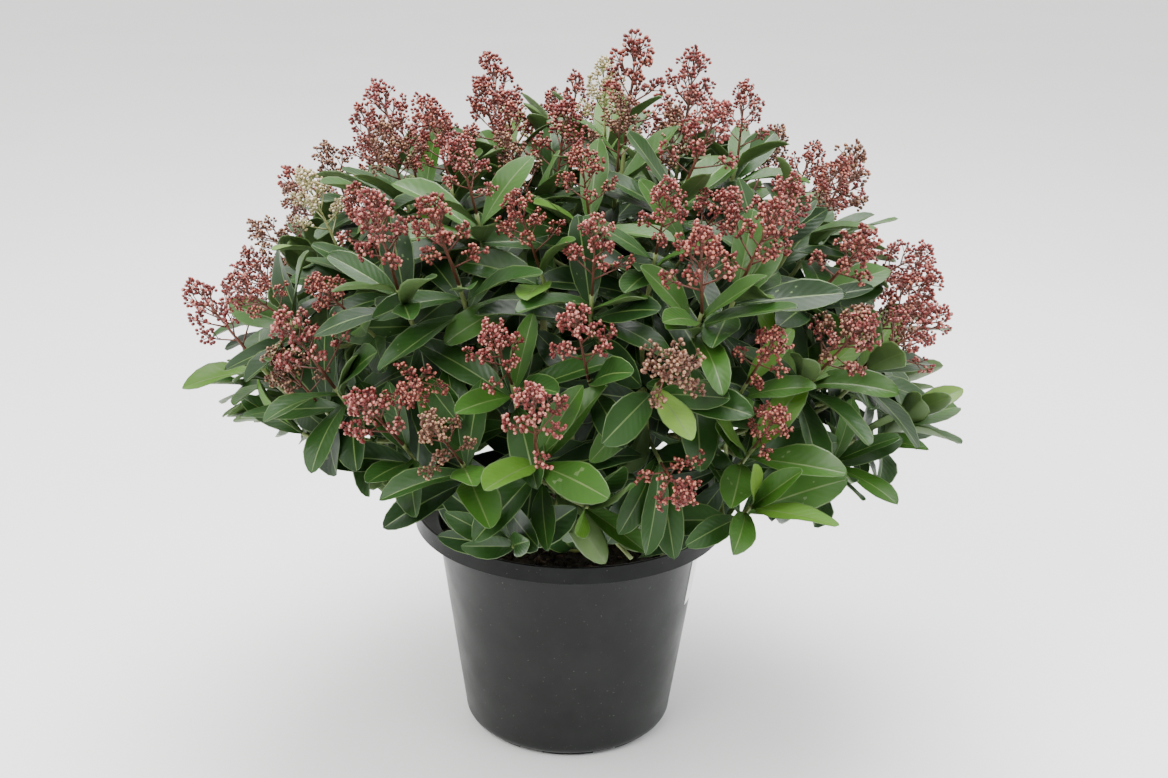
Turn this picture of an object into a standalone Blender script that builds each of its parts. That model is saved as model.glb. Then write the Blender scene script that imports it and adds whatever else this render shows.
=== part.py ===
"""Potted skimmia: an evergreen shrub of many stems, in bud, in a round nursery pot.

Run with: blender --background --python part.py, or from Blender's text editor.
Metres, +Z up. The origin is the centre of the pot's flat underside, and -Y is the plant's front.

The shrub is built as it grows. A short stem base stands on the compost and forks into four side
stems and one middle stem. Each side stem ends in a knot that carries three boughs, and each bough
carries one mass of foliage: a stem, its shoots, a whorl of leaves on each shoot, and on top of it a
panicle of flower buds. The shoots' tips are dealt out evenly over the crown by the golden angle,
and each tip belongs to the mass whose heart is nearest, so that every mass keeps its own space.
"""

import math
import random

import bmesh
import bpy
import numpy as np
from mathutils import Matrix, Vector
from mathutils.bvhtree import BVHTree

# ---- Driving dimensions, in metres ---------------------------------------------------------
POT_RIM_RADIUS = 0.162
POT_HEIGHT = 0.245
POT_FOOT_RADIUS = 0.101
POT_WALL = 0.0022

CROWN_CENTRE = Vector((0.004, 0.0, 0.335))
CROWN_REACH = Vector((0.362, 0.350, 0.350))  # centre to panicle tips: sideways, front to back, up
CROWN_SQUARENESS = 2.8  # 2 is an ellipsoid; more fills out its shoulders
CROWN_PEAK = Vector((0.22, 0.0, 1.0)).normalized()  # the crown rises to a blunt peak this way
PEAK_RISE = 0.05  # share of its reach
PEAK_SHARPNESS = 20
SKIRT_HEIGHT = 0.228  # nothing hangs lower at the pot's rim
SKIRT_RISE = 0.50  # how much the crown's underside rises for each step outwards
LOWEST_SHOOT = math.radians(-14)
SHOOTS = 110

LEAF_LENGTH = 0.109
LEAF_WIDTH = 0.048
PANICLE_LENGTH = 0.070
PANICLE_WIDTH = 0.062

GAP = 0.0003  # between two solids that touch
MERGE_DISTANCE = 0.00005  # a turned solid's points on its axis are made one

# ---- Pot ------------------------------------------------------------------------------------
RIM_BAND_HEIGHT = 0.018
RIM_BAND_WALL = 0.0036
RIM_EDGE = 0.0012  # the bevels on the rim
WALL_TOP_RADIUS = 0.1400
WALL_BOTTOM_RADIUS = 0.1080
CORNER_HEIGHT = 0.015
FLOOR_THICKNESS = 0.004
FOOT_STEP = 0.0035  # height of the foot below the rounded corner
POT_STEPS = 30
CORNER_STEPS = 2
DRAIN_SLOTS = 8
DRAIN_SLOT_WIDTH = 0.026
DRAIN_SLOT_HEIGHT = 0.0045
DRAIN_SLOT_DEPTH = 0.014

# ---- Compost --------------------------------------------------------------------------------
SOIL_TOP = 0.219
SOIL_MOUND = 0.004

# ---- Limbs ----------------------------------------------------------------------------------
STEM_BASE_HEIGHT = 0.034
STEM_BASE_RADIUS = 0.0125
ROOT_FLARE_RADIUS = 0.021
STEM_KNOT_RADIUS = 0.0155
STEM_BASE_STEPS = 10
STEM_NECK = 1.25  # knot radii below the knot's middle, where the straight stem begins
FLARE_SHOULDER = (0.78, 0.005)  # (share of the flare's radius, height above the compost)
KNOT_ARC = math.radians(135)  # of the knot's profile, down from its top
KNOT_ARC_STEPS = 4
SIDE_STEMS = 4
SIDE_STEM_TILT = math.radians(60)  # from upright, where it leaves the stem base
SIDE_STEM_RADII = (0.0066, 0.0054)
SIDE_STEM_KNOT = 0.0082
FORK_RADIUS = 0.082  # from the plant's axis
FORK_HEIGHT = 0.322
FORK_ELEVATION = math.radians(48)  # of a side stem as it reaches its fork
FORK_KNOT_TURNS = (-45, -15, 15, 45, 68)  # degrees round the knot's profile, from its foot to its top
MIDDLE_STEM_TOP = 0.452
BOUGH_RADII = (0.0048, 0.0036)
BOUGH_POINTS = 5
STRAIGHT_END = 0.005  # of a bough, where it meets its mass

# ---- Masses ---------------------------------------------------------------------------------
UPPER_MASS_ELEVATION = math.radians(47)
LOWER_MASS_ELEVATION = math.radians(9)
LOWER_MASS_SPREAD = math.radians(22.5)  # a lower mass's turn from its side stem
FIRST_STEM_AZIMUTH = math.radians(22.5)
MASS_FOOT = 0.40  # share of the crown's reach where a mass begins
MASS_HEART = 0.62  # share of it where the middle of its space is
MASS_MARGIN = 0.0006  # kept clear on each side of the border between two masses
MASS_STEM_SHARE = 0.55  # of the way from a mass's foot to its heart
MASS_STEM_RADII = (0.0034, 0.0030)
MASS_STEM_SIDES = 5

# ---- Shoots, leaves and panicles --------------------------------------------------------------
GOLDEN_ANGLE = math.pi * (3 - math.sqrt(5))
SHOOT_TURN = 0.4  # where the golden spiral of shoots starts, in radians
SHOOT_JITTER = 0.10  # radians
SHOOT_REACH_SPREAD = 0.06
SHOOT_RISE = 0.80  # how far a shoot's tip turns upwards from the crown's radius
SHOOT_RADII = (0.0026, 0.0016)
SHOOT_SIDES = 3
TWIG_PROBES = 12
FIRST_PROBE = 0.15  # share of a stretch of twig
FIRST_FORK = 0.70  # share of a mass's stem where its first shoot leaves
LAST_FORK = 0.96
STALK_SHARE = 1.15  # of the whorl's depth, from its top leaf down to the shoot's bend
UNBEND_STEPS = 4
LEAST_STRAIGHTNESS = 0.45  # cosine of a shoot's sharpest bend
DRAW_IN_ROOM = 0.019  # to leave between a panicle's middle and the border
DRAW_IN_STEPS = 5
DRAW_IN_WEIGHT = 8  # of a shoot's own direction against its mass's, at each step
LOWEST_PANICLE = math.radians(13)
CROWN_WAIST = math.radians(-2)  # below it the crown draws in towards the pot
LOWEST_REACH = 0.62  # of the others' reach, for the lowest shoot
HANGING_ROOM = 0.016  # a whorl of leaves needs this much below it, above the crown's skirt
LEAVES_PER_SHOOT = 6
WHORL_DEPTH = 0.034
LEAF_TILTS = (math.radians(46), math.radians(90))  # from the shoot: top leaf, lowest leaf
LEAF_SPREAD = 0.14
LEAF_THICKNESS = 0.014  # share of its length
LEAF_DROOP = 0.10  # share of its length that the tip hangs
LEAF_TRIES = 12
LEAF_SHRINK = 0.03  # of its size, that a leaf loses at each try after the first
LEAF_TURN = math.radians(33)  # how far a leaf that doesn't fit is turned for its next try
LEAF_CLEARANCE = 0.0022
LEAF_OUTLINE = ((1.0, 0.0), (0.74, 0.46), (0.34, 0.40), (0.0, 0.0),
                (0.34, -0.40), (0.74, -0.46))  # (share of length, share of width) from the tip round
LEAF_FOLDS = ((1, 5), (2, 4))  # corners that the blade bends across as it droops
LEAF_PROBES = ((0.2, 0.24), (0.34, 0.40), (0.54, 0.43), (0.74, 0.46), (0.88, 0.22), (1.0, 0.0))
LEAF_KEEL = 0.5  # share of the length where the leaf is thickest
PANICLE_FOOT = 0.06  # share of its length between the whorl and its lowest buds
PANICLE_STALK = 0.30  # share of its length that the shoot reaches up into it
PANICLE_SPREAD = 0.10
BUD_LENGTH = 0.004  # on a shoot with no panicle
PANICLE_SIDES = 6
PANICLE_RINGS = ((0.34, 0.98), (0.72, 0.76))  # (share of length, share of half width)
PANICLE_LOBES = 0.66  # how far the hollows between bud clusters draw in
SEED = 7

BARK, LEAF, BUD = 0, 1, 2  # material slots of a mass


# ---- Materials and objects --------------------------------------------------------------------
def material(name, colour, roughness, metallic=0.0):
    """A Principled material of one colour."""
    made = bpy.data.materials.new(name)
    made.use_nodes = True
    shader = made.node_tree.nodes["Principled BSDF"]
    shader.inputs["Base Color"].default_value = (*colour, 1.0)
    shader.inputs["Roughness"].default_value = roughness
    shader.inputs["Metallic"].default_value = metallic
    return made


def clear_scene():
    """Removes every object that the file opened with."""
    for obj in list(bpy.data.objects):
        bpy.data.objects.remove(obj)


def collection(name, hidden=False):
    """A collection in the scene. A hidden one holds cutters."""
    made = bpy.data.collections.new(name)
    made.hide_render = hidden
    bpy.context.scene.collection.children.link(made)
    return made


def mesh_object(name, mesh, home, materials):
    """An object on a mesh, in a collection, with its materials."""
    for each in materials:
        mesh.materials.append(each)
    obj = bpy.data.objects.new(name, mesh)
    home.objects.link(obj)
    return obj


def from_bmesh(name, shape, home, materials, slot=0, smooth=False):
    """An object from a bmesh, every face in one material slot."""
    for face in shape.faces:
        face.material_index = slot
        face.smooth = smooth
    mesh = bpy.data.meshes.new(name)
    shape.to_mesh(mesh)
    shape.free()
    return mesh_object(name, mesh, home, materials)


def turned(name, profile, steps, home, materials):
    """A solid of revolution about Z. The profile of (radius, height) runs down its outer side."""
    mesh = bpy.data.meshes.new(name)
    points = [(radius, 0.0, height) for radius, height in profile]
    mesh.from_pydata(points, [(i, i + 1) for i in range(len(points) - 1)], [])
    obj = mesh_object(name, mesh, home, materials)
    screw = obj.modifiers.new("Turn", "SCREW")
    screw.steps = screw.render_steps = steps
    screw.use_merge_vertices = True
    screw.merge_threshold = MERGE_DISTANCE
    screw.use_smooth_shade = True
    return obj


def limb(name, points, radii, home, materials, resolution=1):
    """A round tapering limb along points, as a curve with filled caps."""
    data = bpy.data.curves.new(name, "CURVE")
    data.dimensions = "3D"
    data.bevel_depth = max(radii)
    data.bevel_resolution = resolution
    data.use_fill_caps = True
    spline = data.splines.new("POLY")
    spline.points.add(len(points) - 1)
    for place, point, radius in zip(spline.points, points, radii):
        place.co = (*point, 1.0)
        place.radius = radius / data.bevel_depth
    for each in materials:
        data.materials.append(each)
    obj = bpy.data.objects.new(name, data)
    home.objects.link(obj)
    return obj


# ---- Pot and compost ----------------------------------------------------------------------------
def pot_wall_radius(height):
    """The outer radius of the pot's straight, tapering wall."""
    share = height / (POT_HEIGHT - RIM_BAND_HEIGHT)
    return WALL_BOTTOM_RADIUS + (WALL_TOP_RADIUS - WALL_BOTTOM_RADIUS) * share


def inner_wall_radius(height):
    """The inner radius of the same wall."""
    return pot_wall_radius(height) - POT_WALL


def corner(foot_radius, wall_radius, top, bottom):
    """A rounded bottom corner, from the wall down to the foot, as (radius, height) points."""
    points = []
    for i in range(CORNER_STEPS + 1):
        angle = math.pi / 2 * i / CORNER_STEPS
        points.append((foot_radius + (wall_radius - foot_radius) * math.cos(angle),
                       bottom + (top - bottom) * (1 - math.sin(angle))))
    return points


def inner_corner():
    """The corner on the pot's inner side, where the wall meets its floor."""
    return corner(POT_FOOT_RADIUS - POT_WALL, inner_wall_radius(CORNER_HEIGHT), CORNER_HEIGHT,
                  FLOOR_THICKNESS)


def build_pot(home, cutters, materials):
    """A thin turned shell with a wide rim band, a rounded foot and drain slots cut in its edge."""
    band_bottom = POT_HEIGHT - RIM_BAND_HEIGHT
    profile = [(0.0, FLOOR_THICKNESS)] + inner_corner()[::-1]
    profile += [
        (inner_wall_radius(band_bottom), band_bottom),
        (POT_RIM_RADIUS - RIM_BAND_WALL, band_bottom + POT_WALL),
        (POT_RIM_RADIUS - RIM_BAND_WALL, POT_HEIGHT - RIM_EDGE),
        (POT_RIM_RADIUS - RIM_BAND_WALL + RIM_EDGE, POT_HEIGHT),
        (POT_RIM_RADIUS - RIM_EDGE, POT_HEIGHT),
        (POT_RIM_RADIUS, POT_HEIGHT - RIM_EDGE),
        (POT_RIM_RADIUS, band_bottom),
        (pot_wall_radius(band_bottom), band_bottom),
    ]
    profile += corner(POT_FOOT_RADIUS, pot_wall_radius(CORNER_HEIGHT), CORNER_HEIGHT, FOOT_STEP)
    profile += [(POT_FOOT_RADIUS, 0.0), (0.0, 0.0)]
    pot = turned("pot", profile, POT_STEPS, home, materials)

    for k in range(DRAIN_SLOTS):
        angle = 2 * math.pi * (k + 0.5) / DRAIN_SLOTS
        shape = bmesh.new()
        bmesh.ops.create_cube(shape, size=1.0)
        size = (2 * DRAIN_SLOT_DEPTH, DRAIN_SLOT_WIDTH, 2 * DRAIN_SLOT_HEIGHT)
        bmesh.ops.scale(shape, vec=size, verts=shape.verts)
        slot = from_bmesh(f"drain_cutter_{k}", shape, cutters, materials)
        slot.matrix_world = Matrix.Rotation(angle, 4, "Z") @ Matrix.Translation((POT_FOOT_RADIUS, 0, 0))
        slot.hide_render = True
        slot.display_type = "WIRE"
    cut = pot.modifiers.new("Drain slots", "BOOLEAN")
    cut.operation = "DIFFERENCE"
    cut.operand_type = "COLLECTION"
    cut.collection = cutters
    cut.solver = "EXACT"
    return pot


def build_compost(home, materials):
    """The compost that fills the pot, a low mound that the stem base stands on."""
    edge = SOIL_TOP - SOIL_MOUND
    profile = [(0.0, SOIL_TOP), (2 * ROOT_FLARE_RADIUS, SOIL_TOP)]
    profile += [(radius - 2 * GAP, height + GAP) for radius, height in [(inner_wall_radius(edge), edge)]
                + inner_corner() + [(0.0, FLOOR_THICKNESS)]]
    profile[-1] = (0.0, FLOOR_THICKNESS + GAP)
    return turned("compost", profile, POT_STEPS, home, materials)


# ---- Limbs ----------------------------------------------------------------------------------------
def along(start, heading, end, arrival, count):
    """Points on a curve that leaves start on one heading and reaches end on another."""
    reach = (end - start).length / 3
    knots = (start, start + heading * reach, end - arrival * reach, end)
    points = []
    for i in range(count):
        t = i / (count - 1)
        shares = ((1 - t) ** 3, 3 * t * (1 - t) ** 2, 3 * t * t * (1 - t), t ** 3)
        points.append(sum((k * s for k, s in zip(knots, shares)), Vector()))
    return points


def tapering(first, last, count):
    """Radii that run evenly from the first to the last."""
    return [first + (last - first) * i / (count - 1) for i in range(count)]


def polar(azimuth, elevation):
    """The direction at an azimuth from +X and an elevation above the ground."""
    return Vector((math.cos(azimuth) * math.cos(elevation),
                   math.sin(azimuth) * math.cos(elevation), math.sin(elevation)))


def in_crown(direction, share):
    """The point in the crown at this share of its reach."""
    level = math.hypot(direction.x, direction.y)
    bulge = (level ** CROWN_SQUARENESS + abs(direction.z) ** CROWN_SQUARENESS) ** (-1 / CROWN_SQUARENESS)
    peak = 1 + PEAK_RISE * max(0.0, direction.dot(CROWN_PEAK)) ** PEAK_SHARPNESS
    return CROWN_CENTRE + Vector([d * r for d, r in zip(direction, CROWN_REACH)]) * share * bulge * peak


def masses():
    """Each mass's name, the side stem that bears it (0 for the middle one), and where it points."""
    found = [("foliage_top", 0, Vector((0, 0, 1)))]
    for k in range(SIDE_STEMS):
        azimuth = FIRST_STEM_AZIMUTH + 2 * math.pi * k / SIDE_STEMS
        found.append((f"foliage_upper_{k + 1}", k + 1, polar(azimuth, UPPER_MASS_ELEVATION)))
        for side, turn in enumerate((-LOWER_MASS_SPREAD, LOWER_MASS_SPREAD)):
            name = f"foliage_lower_{2 * k + side + 1}"
            found.append((name, k + 1, polar(azimuth + turn, LOWER_MASS_ELEVATION)))
    return found


def build_stem_base(home, materials):
    """The short stem that stands on the compost: flared at its foot, knotted where it forks."""
    knot = SOIL_TOP + GAP + STEM_BASE_HEIGHT
    profile = []
    for i in range(KNOT_ARC_STEPS + 1):
        angle = math.pi / 2 - KNOT_ARC * i / KNOT_ARC_STEPS
        profile.append((STEM_KNOT_RADIUS * math.cos(angle), knot + STEM_KNOT_RADIUS * math.sin(angle)))
    profile[0] = (0.0, knot + STEM_KNOT_RADIUS)
    profile += [(STEM_BASE_RADIUS, knot - STEM_NECK * STEM_KNOT_RADIUS),
                (ROOT_FLARE_RADIUS * FLARE_SHOULDER[0], SOIL_TOP + GAP + FLARE_SHOULDER[1]),
                (ROOT_FLARE_RADIUS, SOIL_TOP + GAP), (0.0, SOIL_TOP + GAP)]
    turned("stem_base", profile, STEM_BASE_STEPS, home, materials)
    return Vector((0, 0, knot))


def build_limbs(home, materials):
    """The stems and boughs. Returns each mass's foot and heading, and every limb as (points, radii)."""
    knot = build_stem_base(home, materials)
    limbs = []
    feet = {}

    def add(name, points, radii):
        limb(name, points, radii, home, materials)
        limbs.append((points, radii))

    start = knot + Vector((0, 0, STEM_KNOT_RADIUS + GAP))
    end = Vector((CROWN_CENTRE.x, CROWN_CENTRE.y, MIDDLE_STEM_TOP))
    points = along(start, Vector((0, 0, 1)), end, Vector((0, 0, 1)), BOUGH_POINTS)
    add("stem_middle", points, tapering(SIDE_STEM_RADII[0], BOUGH_RADII[1], BOUGH_POINTS))
    feet["foliage_top"] = (end, Vector((0, 0, 1)))

    for k in range(SIDE_STEMS):
        azimuth = FIRST_STEM_AZIMUTH + 2 * math.pi * k / SIDE_STEMS
        leaving = polar(azimuth, math.pi / 2 - SIDE_STEM_TILT)
        arriving = polar(azimuth, FORK_ELEVATION)
        fork = Vector((FORK_RADIUS * math.cos(azimuth), FORK_RADIUS * math.sin(azimuth), FORK_HEIGHT))
        start = knot + leaving * (STEM_KNOT_RADIUS + GAP)
        stem = along(start, leaving, fork - arriving * SIDE_STEM_KNOT, arriving, BOUGH_POINTS)
        radii = tapering(*SIDE_STEM_RADII, BOUGH_POINTS)
        for turn in FORK_KNOT_TURNS:
            angle = math.radians(turn)
            stem.append(fork + arriving * SIDE_STEM_KNOT * math.sin(angle))
            radii.append(SIDE_STEM_KNOT * math.cos(angle))
        add(f"stem_side_{k + 1}", stem, radii)

        for name, bearer, direction in masses():
            if bearer != k + 1:
                continue
            foot = in_crown(direction, MASS_FOOT)
            leaving = (foot - fork).normalized()
            start = fork + leaving * (SIDE_STEM_KNOT + GAP)
            heading = (in_crown(direction, MASS_HEART) - foot).normalized()
            points = along(start, leaving, foot - heading * STRAIGHT_END, heading, BOUGH_POINTS)
            add(name.replace("foliage", "bough"), points + [foot],
                tapering(*BOUGH_RADII, BOUGH_POINTS + 1))
            feet[name] = (foot, heading)
    return feet, limbs


# ---- Room for foliage ---------------------------------------------------------------------------
class Room:
    """Says whether a piece fits: in its mass's space, clear of limbs, pot and other pieces."""

    def __init__(self, hearts, limbs):
        """Keeps the masses' hearts, and the limbs as short straight stretches with their radii."""
        self.hearts = hearts
        starts, ends, radii = [], [], []
        for points, widths in limbs:
            for a, b, width in zip(points, points[1:], widths):
                starts.append(a)
                ends.append(b)
                radii.append(width)
        self.starts = np.array(starts)
        self.spans = np.array(ends) - self.starts
        self.radii = np.array(radii)
        self.taken = {name: [] for name in hearts}
        self.twigs = {name: [] for name in hearts}

    @staticmethod
    def above_skirt(points):
        """True if the points are above the crown's underside."""
        skirt = SKIRT_HEIGHT + SKIRT_RISE * (np.hypot(points[:, 0], points[:, 1]) - POT_RIM_RADIUS)
        return not (points[:, 2] < skirt).any()

    def inside(self, name, points):
        """True if the points are above the crown's skirt and nearest to this mass's heart."""
        if not self.above_skirt(points):
            return False
        own = np.array(self.hearts[name])
        for other, heart in self.hearts.items():
            if other == name:
                continue
            away = np.array(heart) - own
            length = np.linalg.norm(away)
            depth = (points - own - away / 2) @ (away / length)
            if depth.max() > -MASS_MARGIN:
                return False
        return True

    def clear(self, points, spare):
        """True if the points keep this much off every limb, and stay out of the pot."""
        to = points[:, None] - self.starts[None]
        share = (to * self.spans).sum(-1) / (self.spans ** 2).sum(-1)
        share = np.clip(share, 0, 1)[..., None]
        off = np.linalg.norm(to - share * self.spans, axis=-1)
        if (off - self.radii).min() < spare:
            return False
        over_pot = np.hypot(points[:, 0], points[:, 1]) < POT_RIM_RADIUS + spare
        return not (over_pot & (points[:, 2] < POT_HEIGHT + spare)).any()

    def apart(self, name, number, tree):
        """True if a piece of this shoot crosses nothing in its mass but its own shoot's twigs."""
        if any(tree.overlap(other) for other in self.taken[name]):
            return False
        return not any(tree.overlap(twig) for owner, twig in self.twigs[name] if owner != number)

    def room_left(self, name, point):
        """How far a point is from the nearest border of its mass's space."""
        own = np.array(self.hearts[name])
        least = math.inf
        for other, heart in self.hearts.items():
            if other != name:
                away = np.array(heart) - own
                least = min(least, -(point - own - away / 2) @ (away / np.linalg.norm(away)))
        return least - MASS_MARGIN


# ---- Foliage -------------------------------------------------------------------------------------
def twig_shape(points, radii, sides):
    """A tapering twig with flat ends, that bends at each point between."""
    shape = bmesh.new()
    span = points[1] - points[0]
    bmesh.ops.create_cone(shape, cap_ends=True, segments=sides, radius1=radii[0], radius2=radii[1],
                          depth=span.length)
    turn = span.to_track_quat("Z", "Y").to_matrix().to_4x4()
    middle = (points[0] + points[1]) / 2
    bmesh.ops.transform(shape, matrix=Matrix.Translation(middle) @ turn, verts=shape.verts)
    end = min(shape.faces, key=lambda face: (face.calc_center_median() - points[1]).length)
    for i in range(2, len(points)):
        end = bmesh.ops.extrude_discrete_faces(shape, faces=[end])["faces"][0]
        bend = (points[i - 1] - points[i - 2]).rotation_difference(points[i] - points[i - 1])
        for vert in end.verts:
            vert.co = points[i] + bend @ (vert.co - points[i - 1]) * (radii[i] / radii[i - 1])
    return shape


def leaf_frame(direction, shoot):
    """A leaf's own axes: along it, across it, and out of its upper face, which looks up the shoot."""
    across = shoot.cross(direction).normalized()
    face = direction.cross(across).normalized()
    return direction, across, face


def leaf_point(base, frame, size, along_share, across_share, lift):
    """A point of a leaf. The blade hangs by the square of the way along it."""
    ahead, across, face = frame
    length, width = size
    hang = LEAF_DROOP * along_share ** 2 * length
    return base + ahead * length * along_share + across * width * across_share + face * (lift - hang)


def leaf_samples(base, frame, size):
    """A leaf's corners, then points spread over it past its stalk, for the tests of room."""
    corners = [leaf_point(base, frame, size, *place, 0.0) for place in LEAF_OUTLINE]
    spread = [leaf_point(base, frame, size, share, side * half, 0.0)
              for share, half in LEAF_PROBES for side in (-1, -0.5, 0, 0.5, 1)]
    return np.array(corners), np.array(spread)


def leaf_shape(base, frame, size):
    """A leaf: six-sided, flat above and keeled along its midrib below."""
    shape = bmesh.new()
    corners = len(LEAF_OUTLINE)
    bmesh.ops.create_cone(shape, cap_ends=True, segments=corners, radius1=1.0, radius2=0.0, depth=1.0)
    outline = {}
    for vert in shape.verts:
        if vert.co.z > 0:
            vert.co = leaf_point(base, frame, size, LEAF_KEEL, 0.0, -LEAF_THICKNESS * size[0])
            continue
        number = round(math.atan2(-vert.co.x, vert.co.y) / (2 * math.pi) * corners) % corners
        vert.co = leaf_point(base, frame, size, *LEAF_OUTLINE[number], 0.0)
        outline[number] = vert
    for left, right in LEAF_FOLDS:
        blade = next(face for face in outline[left].link_faces if outline[right] in face.verts)
        bmesh.utils.face_split(blade, outline[left], outline[right])
    bmesh.ops.recalc_face_normals(shape, faces=shape.faces)
    return shape


def panicle_shape(base, axis, length, width, turn):
    """A panicle in bud: a blunt cone of two rings, its sides lobed where the bud clusters stand out."""
    shape = bmesh.new()
    rings = len(PANICLE_RINGS) + 1
    bmesh.ops.create_uvsphere(shape, u_segments=PANICLE_SIDES, v_segments=rings, radius=1.0)
    rotation = axis.to_track_quat("Z", "Y").to_matrix()
    for vert in shape.verts:
        ring = round(math.acos(max(-1.0, min(1.0, -vert.co.z))) / math.pi * rings)
        if ring in (0, rings):
            vert.co = base + axis * length * ring / rings
            continue
        share, spread = PANICLE_RINGS[ring - 1]
        angle = math.atan2(vert.co.y, vert.co.x)
        side = round(angle / (2 * math.pi) * PANICLE_SIDES)
        lobe = 1.0 if (side + ring) % 2 else PANICLE_LOBES
        reach = width / 2 * spread * lobe
        out = Vector((math.cos(angle + turn), math.sin(angle + turn), 0)) * reach
        vert.co = base + axis * length * share + rotation @ out
    bmesh.ops.recalc_face_normals(shape, faces=shape.faces)
    return shape


def low_reach(elevation):
    """How far a shoot reaches, as a share: below its waist the crown draws in towards the pot."""
    share = (CROWN_WAIST - elevation) / (CROWN_WAIST - LOWEST_SHOOT)
    return 1 + (LOWEST_REACH - 1) * max(0.0, min(1.0, share))


class Shoot:
    """Where one shoot's tip is, which way it grows, and its own chance numbers."""

    def __init__(self, number):
        """Deals the shoot its place in the crown, by the golden angle."""
        self.chance = random.Random(SEED * 1000 + number)
        jitter = [self.chance.uniform(-SHOOT_JITTER, SHOOT_JITTER) for _ in range(2)]
        rise = 1 + (math.sin(LOWEST_SHOOT) - 1) * (number + 0.5) / SHOOTS
        self.elevation = math.asin(rise) + jitter[0]
        self.reach = 1 + self.chance.uniform(-SHOOT_REACH_SPREAD, SHOOT_REACH_SPREAD)
        self.blooms = self.elevation > LOWEST_PANICLE
        self.reach *= low_reach(self.elevation)
        self.point_to(polar(SHOOT_TURN + number * GOLDEN_ANGLE + jitter[1], self.elevation))

    def point_to(self, direction):
        """Places the whorl of leaves, with the panicle's tip where the crown ends."""
        self.direction = direction
        self.heading = (direction + Vector((0, 0, SHOOT_RISE))).normalized()
        self.whorl = in_crown(direction, self.reach) - self.heading * PANICLE_LENGTH

    def unbend(self, root):
        """Swings the shoot outwards from its root until its twig has no sharp bend."""
        for _ in range(UNBEND_STEPS):
            bend = self.whorl - self.heading * WHORL_DEPTH * STALK_SHARE
            if (bend - root).normalized().dot(self.heading) > LEAST_STRAIGHTNESS:
                return
            self.heading = (self.heading * 2 + (self.whorl - root).normalized()).normalized()

    def draw_in(self, name, towards, room):
        """Turns the shoot towards the middle of its mass until its panicle has room."""
        for _ in range(DRAW_IN_STEPS):
            middle = np.array(self.whorl + self.heading * PANICLE_LENGTH / 2)
            if room.room_left(name, middle) > DRAW_IN_ROOM:
                return
            self.point_to((self.direction * DRAW_IN_WEIGHT + towards).normalized())


def twig_samples(start, end):
    """Points along a twig, for the tests of room."""
    return np.array([start + (end - start) * share for share in np.linspace(FIRST_PROBE, 1.0, TWIG_PROBES)])


def grow_shoot(name, number, root, shoot, room, home, materials):
    """A twig out to its bend and on up its heading, with a panicle on all but the lowest shoots."""
    shoot.unbend(root)
    heading, chance = shoot.heading, shoot.chance
    bend = shoot.whorl - heading * WHORL_DEPTH * STALK_SHARE
    end = shoot.whorl + heading * (PANICLE_LENGTH * PANICLE_STALK if shoot.blooms else BUD_LENGTH)
    below = np.array([shoot.whorl - Vector((0, 0, HANGING_ROOM))])
    if not room.above_skirt(below):
        return False
    points = np.concatenate((twig_samples(root, bend), twig_samples(bend, end)))
    if not (room.inside(name, points) and room.clear(points[2:], SHOOT_RADII[0] + GAP)):
        return False
    shape = twig_shape((root, bend, end), (SHOOT_RADII[0], *SHOOT_RADII), SHOOT_SIDES)
    room.twigs[name].append((number, BVHTree.FromBMesh(shape)))
    from_bmesh(f"twig_{number}", shape, home, materials, BARK)
    if shoot.blooms:
        base = shoot.whorl + heading * PANICLE_LENGTH * PANICLE_FOOT
        length = PANICLE_LENGTH * (1 - PANICLE_FOOT)
        middle = np.array(base + heading * length / 2)
        width = PANICLE_WIDTH * chance.uniform(1 - PANICLE_SPREAD, 1 + PANICLE_SPREAD)
        width = min(width, 2 * room.room_left(name, middle))
        shape = panicle_shape(base, heading, length, width, chance.uniform(0, math.pi))
        corners = np.array([vert.co for vert in shape.verts])
        tree = BVHTree.FromBMesh(shape)
        if width > 0 and room.inside(name, corners) and room.apart(name, number, tree):
            room.taken[name].append(tree)
            from_bmesh(f"panicle_{number}", shape, home, materials, BUD)
    return True


def grow_leaves(name, number, shoot, room, home, materials):
    """A whorl of leaves round a shoot. A leaf that doesn't fit is turned, and left out after a few tries."""
    whorl, heading, chance = shoot.whorl, shoot.heading, shoot.chance
    aside = heading.orthogonal().normalized()
    turn = chance.uniform(0, 2 * math.pi)
    for j in range(LEAVES_PER_SHOOT):
        share = j / (LEAVES_PER_SHOOT - 1)
        base = whorl - heading * WHORL_DEPTH * share
        tilt = LEAF_TILTS[0] + (LEAF_TILTS[1] - LEAF_TILTS[0]) * share
        size = (LEAF_LENGTH * (1 + chance.uniform(-LEAF_SPREAD, LEAF_SPREAD)),
                LEAF_WIDTH * (1 + chance.uniform(-LEAF_SPREAD, LEAF_SPREAD)))
        turn += GOLDEN_ANGLE
        for k in range(LEAF_TRIES):
            angle = turn + (k + 1) // 2 * LEAF_TURN * (-1) ** k
            side = Matrix.Rotation(angle, 3, heading) @ aside
            ahead = (heading * math.cos(tilt) + side * math.sin(tilt)).normalized()
            frame = leaf_frame(ahead, heading)
            fitted = [part * (1 - LEAF_SHRINK * k) for part in size]
            corners, spread = leaf_samples(base, frame, fitted)
            if not (room.inside(name, corners) and room.clear(spread, LEAF_CLEARANCE)):
                continue
            shape = leaf_shape(base, frame, fitted)
            tree = BVHTree.FromBMesh(shape)
            if room.apart(name, number, tree):
                room.taken[name].append(tree)
                from_bmesh(f"leaf_{number}_{j}", shape, home, materials, LEAF)
                break
            shape.free()


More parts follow.
